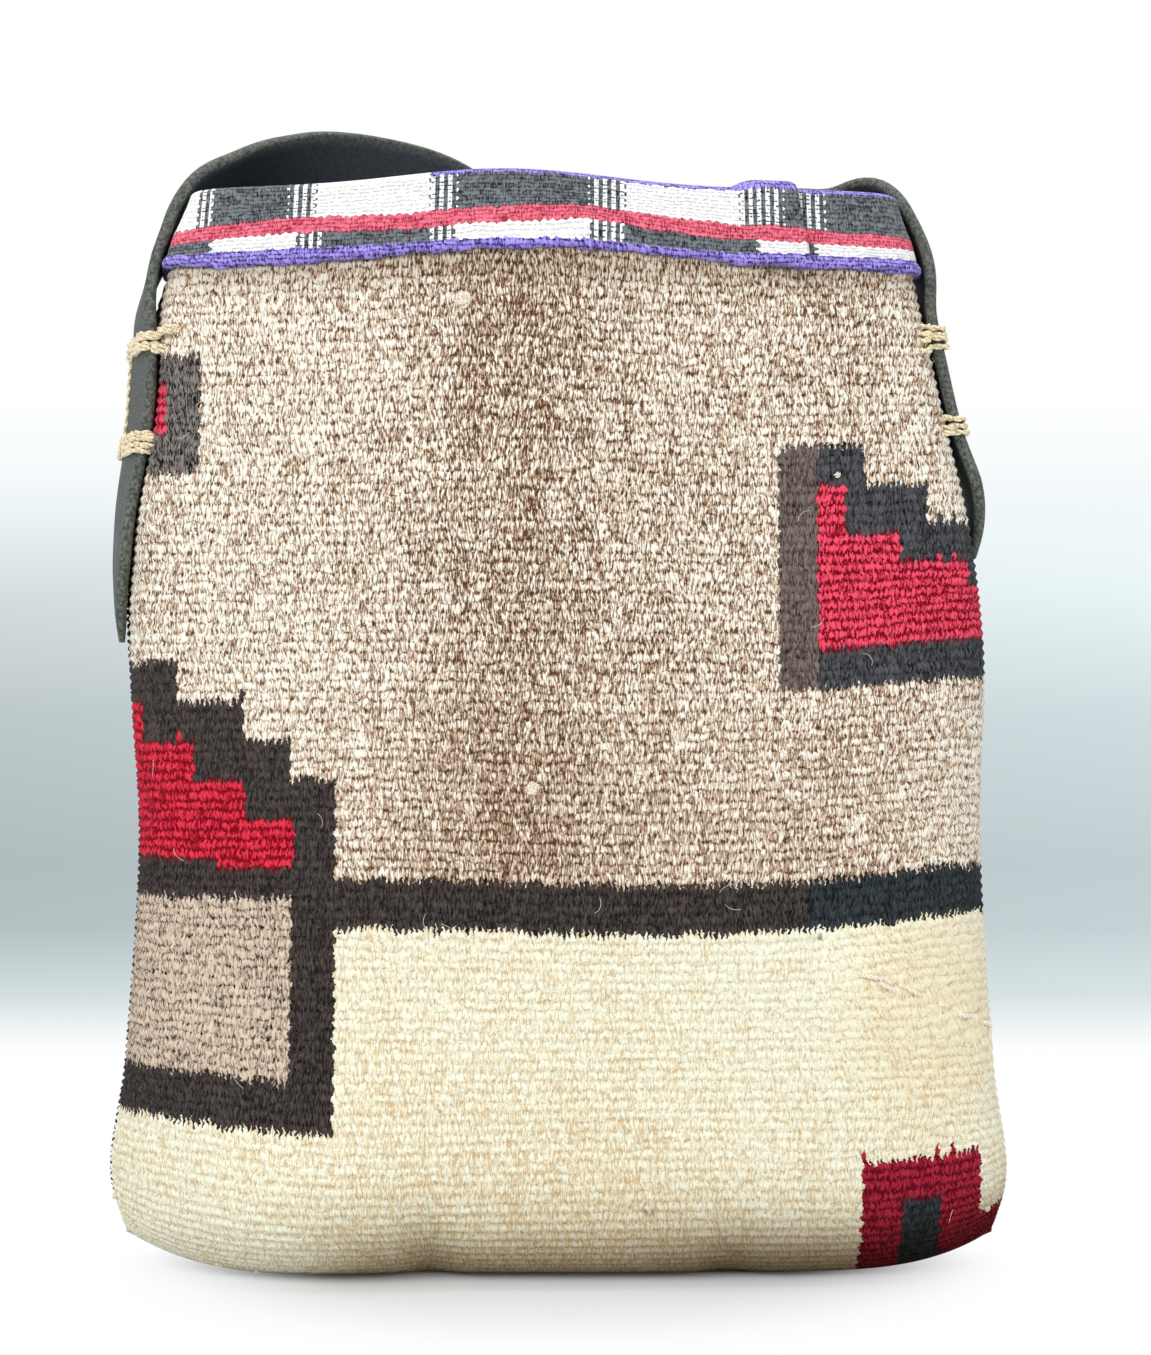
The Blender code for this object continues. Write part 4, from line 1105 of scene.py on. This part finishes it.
def side_x(side, z, depth=0.0):
    """x of the bag's side at height z."""
    level = z - rim_lift(side, -1, z)
    return float(centre_x(level) + side * (half_width(level) - depth))


def strap_centre(side, z):
    """The strap's middle on the bag's side at height z, over the strip at the mouth."""
    foot = BAG_HEIGHT - BAND_HEIGHT
    off = 0.00045 + SEAT_GAP + 0.0016
    off += (SEAT_GAP + BAND_THICKNESS + 0.0002) * float(step_up(z, foot - 0.012, foot - 0.002))
    if side > 0:
        # The right tail's point kicks out.
        off += 0.0024 * math.exp(-(((z - 0.2185) / 0.012) ** 2)) - 0.0016 * float(step_up(-z, -0.212, -0.202))
    return np.array([side_x(side, z) + side * off, 0.0, z])


strap_knots = []
for z in np.linspace(BAG_HEIGHT - TAIL_LEFT, BAG_HEIGHT - 0.016, 12):
    strap_knots.append((*strap_centre(-1, z), 0.0))
middle, reach = (DROOP_LEFT + DROOP_RIGHT) / 2, (DROOP_RIGHT - DROOP_LEFT) / 2
loop_radius = reach * MOUTH_WIDTH / 2
behind = BAG_DEPTH / 2 + STRAP_WIDTH / 2 + 0.001
leg = -(STRAP_DROP - loop_radius) * 0.62
slack = [*LEFT_ARCH, (DROOP_LEFT - 0.02, behind - 0.002, leg, 150.0)]
for degrees in (185, 225, 270, 315, 355):
    angle = math.radians(degrees)
    over = -STRAP_DROP + loop_radius * (1 + math.sin(angle))
    slack.append((middle + reach * math.cos(angle), behind, over, 165.0))
slack += [(DROOP_RIGHT + 0.01, behind - 0.002, leg, 150.0), *RIGHT_ARCH]
for share, y, over, lean in slack:
    strap_knots.append((float(centre_x(BAG_HEIGHT)) + share * MOUTH_WIDTH / 2, y, BAG_HEIGHT + over, lean))
for z in np.linspace(BAG_HEIGHT - 0.021, BAG_HEIGHT - TAIL_RIGHT, 10):
    strap_knots.append((*strap_centre(1, z), 0.0))


def smooth_path(knots, spacing):
    """A smooth curve through the knots, sampled at about this spacing, each column by itself."""
    knots = np.array(knots)
    at = run_along(knots[:, :3])
    return smooth_curve(at, knots, np.linspace(0.0, at[-1], round(at[-1] / spacing) + 1))


def relaxed(path, times):
    """The path, each point drawn this often halfway to the middle of its neighbours."""
    for _ in range(times):
        path[1:-1] = (path[:-2] + 2 * path[1:-1] + path[2:]) / 4
    return path


strap_path = relaxed(smooth_path(strap_knots, 0.0018), 6)
centres, leans = strap_path[:, :3], np.radians(strap_path[:, 3])
along = np.gradient(centres, axis=0)
along /= np.linalg.norm(along, axis=1)[:, None]
edge = np.stack([np.zeros(len(leans)), -np.cos(leans), np.sin(leans)], axis=-1)
edge -= along * (edge * along).sum(axis=1)[:, None]
edge /= np.linalg.norm(edge, axis=1)[:, None]
outward = np.cross(edge, along)
run = run_along(centres)
from_end = np.minimum(run, run[-1] - run)
wide = STRAP_WIDTH / 2 * (0.16 + 0.84 * np.clip(from_end / STRAP_POINT, 0.0, 1.0))
wide *= 1 + 0.012 * np.sin(run / 0.019) * np.sin(run / 0.0071 + 1)
half = STRAP_THICKNESS / 2 * (1 - 0.55 * (1 - np.clip(from_end / 0.012, 0.0, 1.0)) ** 2)

# The strap's section, as (edge's side or 0 for a face, two shares of its size, 1 on an edge).
section = []
for side in (1, -1):
    for angle in np.linspace(-70, 70, 9):
        turn = math.radians(angle)
        section.append((side, math.cos(turn), side * math.sin(turn), 1.0))
    for share in (0.80, 0.52, 0.18, -0.18, -0.52, -0.80):
        section.append((0, side * share, side, 0.0))
strap_points, strap_maps, raw_edge, inner_face = [], [], [], []
for c, e, n, w, h, r in zip(centres, edge, outward, wide, half, run):
    round_off = min(h * 0.9, w * 0.5)
    ring = []
    for side, a, b, is_edge in section:
        if side:
            ring.append((side * (w - round_off + round_off * a), h * b * 1.03))
            inner_face.append(0.5 if b < -0.8 else 0.0)
        else:
            ring.append(((w - round_off) * a, h * b * (1.0 + 0.06 * (1 - a * a))))
            inner_face.append(1.0 if b < 0 else 0.0)
        raw_edge.append(is_edge)
    strap_points += [c + e * u + n * v for u, v in ring]
    strap_maps += [(r, around) for around in run_along(ring)]
strap_faces = closed_tube(len(centres), len(section))
strap = mesh_piece("leather_strap", side_pulled(strap_points), strap_faces, strap_maps)
point_values(strap.data, "raw edge", raw_edge)
point_values(strap.data, "inner face", inner_face)
closed_outwards(strap)

strap_leather, tree, shader = new_material("strap_leather", 0.62, Specular_IOR_Level=0.35)
place = object_place(tree)
pores = {"Vector": place, "Scale": 1500.0}
pores = place_node(tree, "ShaderNodeTexVoronoi", pores, feature="DISTANCE_TO_EDGE")[0]
mottle = noise(place, 1050.0, 4.0, 0.75)
cut = place_node(tree, "ShaderNodeAttribute", attribute_name="raw edge")["Fac"]
inner_face_and_shade = place_node(tree, "ShaderNodeAttribute", attribute_name="inner face")["Fac"]
speckle = eased(mottle, 0.40, 0.62)
worn = eased(noise(place, 60.0, 3.0), 0.52, 0.72, 0.0, 0.3)
colour = blended(worn, blended(speckle, srgb(54, 57, 55), srgb(94, 98, 94)), srgb(122, 126, 118))
colour = blended(cut, colour, blended(speckle, srgb(58, 62, 57), srgb(114, 119, 108)))
# The inner face: dark leather with painted shade, nearly black.
colour = blended(inner_face_and_shade, colour, blended(speckle, srgb(24, 33, 40), srgb(40, 50, 56)))
join_to(colour, shader.inputs["Base Color"])
join_to(mottle * 0.35 + 0.42, shader.inputs["Roughness"])
raise_surface(shader, mottle * 1.3 + eased(pores, 0.0, 0.22) * 0.5, 0.6, 0.0003)
strap.data.materials.append(strap_leather)
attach(strap, "root")
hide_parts("shoulder_strap")


# Each tail is laced flat to the bag's side with thick waxed cord. In two places, front and back,
# the cord goes a few times out through a hole near the strap's edge, round that edge and in through
# the rug, and one run of it lies along the strap between the two places.
CORD_PLY, CORD_LAY, CORD_STEP, HOLE_INSET, FAR_HOLES = 0.00049, 0.0068, 0.0005, 0.005, 0.0195
CORD_OFF = 2 * CORD_PLY


def cord_tree(name, plies):
    """A tree that lays this many twisted plies along each line of points."""
    made, into, out_of = new_shape_tree(name, (
        ("Ply Radius", "NodeSocketFloat", 0.0004),
        ("Lay Length", "NodeSocketFloat", 0.004),
        ("Spacing", "NodeSocketFloat", 0.0005),
        ("Cord", "NodeSocketMaterial", None),
    ))
    line = place_node(made, "GeometryNodeMeshToCurve", {0: into[0]})[0]
    line = {0: line, "Length": into["Spacing"]}
    line = place_node(made, "GeometryNodeResampleCurve", line, mode="LENGTH")[0]
    ran = place_node(made, "GeometryNodeSplineParameter")["Length"]
    line = {0: line, "Name": "run", "Value": ran}
    line = place_node(made, "GeometryNodeStoreNamedAttribute", line, data_type="FLOAT")[0]
    ahead = place_node(made, "GeometryNodeInputTangent")[0]
    aside = place_node(made, "GeometryNodeInputNormal")[0]
    third = vector_calc("CROSS_PRODUCT", ahead, aside)[0]
    ring = {"Resolution": 6, "Radius": into["Ply Radius"]}
    ring = place_node(made, "GeometryNodeCurvePrimitiveCircle", ring)[0]
    joined = place_node(made, "GeometryNodeJoinGeometry")
    turn = ran / into["Lay Length"] * (2 * math.pi)
    far = into["Ply Radius"] * (0.88 if plies > 1 else 0.0)
    for ply in range(plies):
        angle = turn + 2 * math.pi * ply / plies
        offset = vector_calc(
            "ADD",
            scaled(aside, calc("COSINE", angle) * far),
            scaled(third, calc("SINE", angle) * far),
        )[0]
        laid = place_node(made, "GeometryNodeSetPosition", {0: line, "Offset": offset})[0]
        tube = place_node(made, "GeometryNodeCurveToMesh", {0: laid, 1: ring, "Fill Caps": True})[0]
        join_to(tube, joined.inputs[0])
    real = place_node(made, "GeometryNodeRealizeInstances", {0: joined[0]})[0]
    smooth = place_node(made, "GeometryNodeSetShadeSmooth", {0: real})[0]
    dressed = place_node(made, "GeometryNodeSetMaterial", {0: smooth, "Material": into["Cord"]})[0]
    join_to(dressed, out_of.inputs[0])
    return made


twisted_cord = cord_tree("twisted cord", 2)


def laid_lines(name, lines, tree, radius, lay, spacing, cord):
    """A piece made by a cord tree along lines of points, with plies of this radius, lay and material."""
    points, links = [], []
    for line in lines:
        links += [(len(points) + i, len(points) + i + 1) for i in range(len(line) - 1)]
        points += [tuple(p) for p in line]
    mesh = bpy.data.meshes.new(name)
    mesh.from_pydata(points, links, [])
    made = bpy.data.objects.new(name, mesh)
    bpy.context.scene.collection.objects.link(made)
    values = {"Ply Radius": radius, "Lay Length": lay, "Spacing": spacing, "Cord": cord}
    shape_piece(made, tree, values)
    closed_outwards(made)
    return made


def on_side(side, edge, z, reach, depth):
    """A point of the bag's face beside the strap, this far in from its edge and inside the skin."""
    level = z - float(rim_lift(side, edge, z))
    power = float(through(SQUARES, level / BAG_HEIGHT))
    flush = (1 - min(STRAP_WIDTH / 2 / float(half_depth(level)), 0.999) ** power) ** (1 / power)
    xi = side * (flush - reach / float(half_width(level)))
    return wall_points(np.array([xi]), edge, level, depth)[0]


def lashing_turn(side, edge, hole_z, rug_z, reach):
    """One turn: out of the strap's hole, over its edge, into the rug and back behind the hole."""
    mid_z = hole_z + 0.25 * (rug_z - hole_z)
    centre = strap_centre(side, mid_z)
    x_out = centre[0] + side * (STRAP_THICKNESS / 2 + CORD_OFF)
    y_hole = edge * (STRAP_WIDTH / 2 - (FAR_HOLES if side < 0 and edge < 0 else HOLE_INSET))
    y_edge = edge * (STRAP_WIDTH / 2 + CORD_OFF)
    outside = on_side(side, edge, rug_z, reach, -RIB_RELIEF / 2 - CORD_OFF)
    half_way = on_side(side, edge, (mid_z + rug_z) / 2, reach * 0.45, -RIB_RELIEF / 2 - CORD_OFF)
    inside = on_side(side, edge, rug_z, reach, WALL + CORD_OFF)
    back = np.array([side_x(side, hole_z, WALL + CORD_OFF + 0.0018), y_hole, hole_z + 0.0005])
    return [
        (x_out, y_hole, hole_z),
        (x_out, (y_hole + y_edge) / 2, (hole_z + mid_z) / 2),
        (x_out - side * CORD_OFF * 0.4, y_edge - edge * CORD_OFF * 0.4, mid_z),
        (centre[0], y_edge, mid_z),
        (centre[0] - side * STRAP_THICKNESS / 2, y_edge, mid_z),
        tuple(half_way),
        tuple(outside + np.array([side * 0.0012, edge * 0.0002, 0.0])),
        tuple(outside * 0.88 + inside * 0.12),
        tuple(inside),
        tuple(inside * 0.65 + back * 0.35),
        tuple(back),
    ]


# Each lashing's turns, as (height at the hole, height at the rug, reach over the rug) from its middle.
V_TURNS = (
    (0.0016, 0.0030, 0.0062),
    (0.0005, 0.0019, 0.0060),
    (-0.0006, -0.0022, 0.0030),
    (-0.0016, -0.0034, 0.0026),
)
EVEN_TURNS = (
    (0.0024, 0.0010, 0.0010),
    (0.0009, 0.0000, 0.0016),
    (-0.0008, -0.0018, 0.0018),
    (-0.0024, -0.0034, 0.0014),
)
CROSSED_TURNS = (
    (0.0024, 0.0026, 0.0010),
    (0.0012, -0.0014, 0.0024),
    (-0.0006, 0.0004, 0.0016),
    (-0.0022, -0.0044, 0.0030),
)
LOOSE_TURNS = ((0.0020, 0.0022, 0.0006), (0.0002, -0.0006, 0.0008), (-0.0016, -0.0022, 0.0012))
# Each lashing, as (name, solid that it replaces, side, edge, lower turns, upper turns), where the turns
# are given as (how far below the rim, turns).
LASHINGS = (
    ("front_left_lacing", "front_left_lashing", -1, -1, (0.0665, EVEN_TURNS), (0.0385, V_TURNS)),
    ("back_left_lacing", "back_left_lashing", -1, 1, (0.0665, EVEN_TURNS), (0.0385, LOOSE_TURNS)),
    ("front_right_lacing", "front_right_lashing", 1, -1, (0.0625, LOOSE_TURNS), (0.0375, CROSSED_TURNS)),
    ("back_right_lacing", "back_right_lashing", 1, 1, (0.0625, EVEN_TURNS), (0.0375, V_TURNS)),
)

lashing_cord, tree, shader = new_material("lashing_cord", 0.5, Specular_IOR_Level=0.35)
ran = place_node(tree, "ShaderNodeAttribute", attribute_name="run")["Fac"]
threads = noise(object_place(tree), 2600.0)
waxed = place_node(tree, "ShaderNodeTexNoise", {"W": ran * 260.0}, noise_dimensions="1D")["Fac"]
pale = clamped((waxed - 0.5) * 1.1 + eased(threads, 0.30, 0.62))
join_to(blended(pale, srgb(186, 150, 100), srgb(255, 246, 214)), shader.inputs["Base Color"])
join_to(threads * 0.3 + 0.35, shader.inputs["Roughness"])
raise_surface(shader, threads, 0.5, 0.0002)

for name, node, side, edge, lower, upper in LASHINGS:
    knots = []
    for below, turns in (lower, upper):
        middle_z = BAG_HEIGHT - below
        for hole, rug, reach in turns[::-1]:
            knots += lashing_turn(side, edge, middle_z + hole, middle_z + rug, reach)
        if below == lower[0]:
            # The back cord climbs over the strap's outer face, the front one under the strap.
            away, y = STRAP_THICKNESS / 2 - CORD_OFF * 0.1, STRAP_WIDTH / 2 - 0.0007
            if edge < 0:
                away, y = -STRAP_THICKNESS / 2 - CORD_OFF * 0.8, -0.007
            for z in np.linspace(middle_z + 0.004, BAG_HEIGHT - upper[0] - 0.004, 6):
                knots.append((strap_centre(side, z)[0] + side * away, y, z))
    line = relaxed(side_pulled(smooth_path(knots, CORD_STEP)), 4)
    lacing = laid_lines(name, [line], twisted_cord, CORD_PLY, CORD_LAY, CORD_STEP, lashing_cord)
    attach(lacing, "root")
    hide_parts(node)


# The folded rug is sewn up at both sides with dark yarn, which overcasts the two edges turn by turn.
SEAM_YARN, SEAM_REACH, SEAM_PITCH = 0.00036, 0.0018, 0.0021
SEAM_FOOT, SEAM_TOP, RIGHT_SEAM_BEHIND = 0.013, 0.200, 0.0095


def fluffy_wool(name, scale, shaded, lit, strength):
    """A plain wool whose fibres are this fine."""
    made, tree, shader = new_material(name, 0.9, Specular_IOR_Level=0.1)
    fluff = noise(object_place(tree), scale, 3.0)
    join_to(blended(eased(fluff, 0.35, 0.65), shaded, lit), shader.inputs["Base Color"])
    raise_surface(shader, fluff, strength, 0.0003)
    return made


seam_wool = fluffy_wool("seam_wool", 2200.0, srgb(26, 26, 30), srgb(78, 74, 74), 0.7)
seam_lines = []
for side in (-1, 1):
    line = []
    for t in np.arange(0.0, (SEAM_TOP - SEAM_FOOT) / SEAM_PITCH, 1 / 16):
        turn = 2 * math.pi * t
        tip = wall_points(np.array([side * 1.0]), -1, SEAM_FOOT + SEAM_PITCH * t)[0]
        behind, sunk = (0.0, 0.0001) if side < 0 else (RIGHT_SEAM_BEHIND, 0.0007)
        out = 0.00042 * math.sin(turn) - sunk
        line.append((tip[0] + side * out, behind + SEAM_REACH * math.cos(turn), tip[2]))
    seam_lines.append(side_pulled(line))
seams = laid_lines("side_seams", seam_lines, twisted_cord, SEAM_YARN, 0.0030, 0.0007, seam_wool)
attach(seams, "root")


# Wear has left small pills and nips of wool on the front, thick ends of yarn along the mended
# corner's slanting join, and a few loose hairs.
HAIRS, HAIR_STEP = 90, 0.0007
# Each pill, as (place along the ribs, place across them, size, strands).
PILLS = (
    (-0.0204, 0.2683, 0.0023, 60),
    (-0.0070, 0.1369, 0.0020, 48),
    (-0.0197, 0.1911, 0.0009, 12),
    (0.0811, 0.2233, 0.0009, 12),
    (-0.1330, 0.0140, 0.0012, 16),
    (-0.0950, -0.0020, 0.0012, 14),
    (-0.0840, -0.0040, 0.0010, 12),
    (0.1240, 0.0130, 0.0010, 10),
)
# Each end of yarn, as (place along the ribs, place across them, length, drop).
YARN_ENDS = (
    (0.0835, 0.0846, 0.0066, -0.0022),
    (0.0880, 0.0822, 0.0050, -0.0030),
    (0.0940, 0.0808, 0.0070, -0.0042),
    (0.1060, 0.0742, 0.0034, -0.0012),
    (0.1128, 0.0706, 0.0054, -0.0018),
    (0.1230, 0.0668, 0.0064, -0.0026),
)


def on_front(u, v, lift):
    """A point over the front cloth, this far above its skin, and the way out from it."""
    z = float(v + sag(np.array(u), v))
    place, away = even_columns(max(z, 0.002), BAG_COLUMNS)
    near = float(np.interp(u, away, place))
    around = np.array([near - 0.006, near, near + 0.006])
    if v < BASE_ROUND:
        row = base_points(around, -1, max(0.0, 1 - (BASE_ROUND - v) / base_arc(-1)))
    else:
        row = wall_points(around, -1, z)
    row = skinned(row, -1, v)
    ahead = row[2] - row[0]
    out = np.array([ahead[1], -ahead[0], 0.0]) / math.hypot(ahead[0], ahead[1])
    return side_pulled(row[1] + out * lift), out


chance = np.random.default_rng(7)
tufts, hairs = [], []
for u, v, size, count in PILLS:
    centre, out = on_front(u, v, size * 0.35)
    for _ in range(count):
        spin = chance.normal(size=3)
        way = spin / np.linalg.norm(spin)
        across = np.cross(way, chance.normal(size=3))
        across /= np.linalg.norm(across)
        reach = size * chance.uniform(0.45, 1.0)
        sweep = chance.uniform(1.5, 4.0)
        strand = []
        for t in np.linspace(0.0, 1.0, 10):
            ball = way * math.cos(sweep * t) + across * math.sin(sweep * t)
            ball = ball - out * float(ball @ out) * 0.45
            strand.append(centre + ball * reach * (1 + 0.15 * math.sin(7 * t + reach * 9000)))
        tufts.append(strand)
for _ in range(HAIRS):
    u, v = chance.uniform(-0.12, 0.12), chance.uniform(0.01, 0.27)
    turn, bend = chance.uniform(0, 2 * math.pi), chance.uniform(-2.0, 2.0)
    strand = []
    for t in np.linspace(0.0, 1.0, 8):
        angle = turn + bend * t
        u, v = u + HAIR_STEP * math.cos(angle), v + HAIR_STEP * math.sin(angle)
        strand.append(on_front(u, v, 0.0004 + 0.0008 * math.sin(math.pi * t))[0])
    hairs.append(strand)

pale_wool = fluffy_wool("pale_wool", 1800.0, srgb(226, 206, 178), srgb(255, 250, 238), 0.6)
single_fibre = cord_tree("single fibre", 1)
ends = []
for u, v, long, drop in YARN_ENDS:
    strand = []
    for t in np.linspace(0.0, 1.0, 9):
        strand.append(on_front(u + long * t, v + drop * t, 0.0009 * math.sin(math.pi * t) ** 0.6 - 0.0002)[0])
    ends.append(strand)
for name, lines, tree, radius in (
    ("wool_pills", tufts, single_fibre, 0.00020),
    ("loose_hairs", hairs, single_fibre, 0.00005),
    ("yarn_ends", ends, twisted_cord, 0.00042),
):
    made = laid_lines(name, lines, tree, radius, 0.0034, 0.0006, pale_wool)
    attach(made, "root")


new_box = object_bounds()
{"cad": [list(map(float, c)) for c in cad_box], "visual": [list(map(float, c)) for c in new_box]}
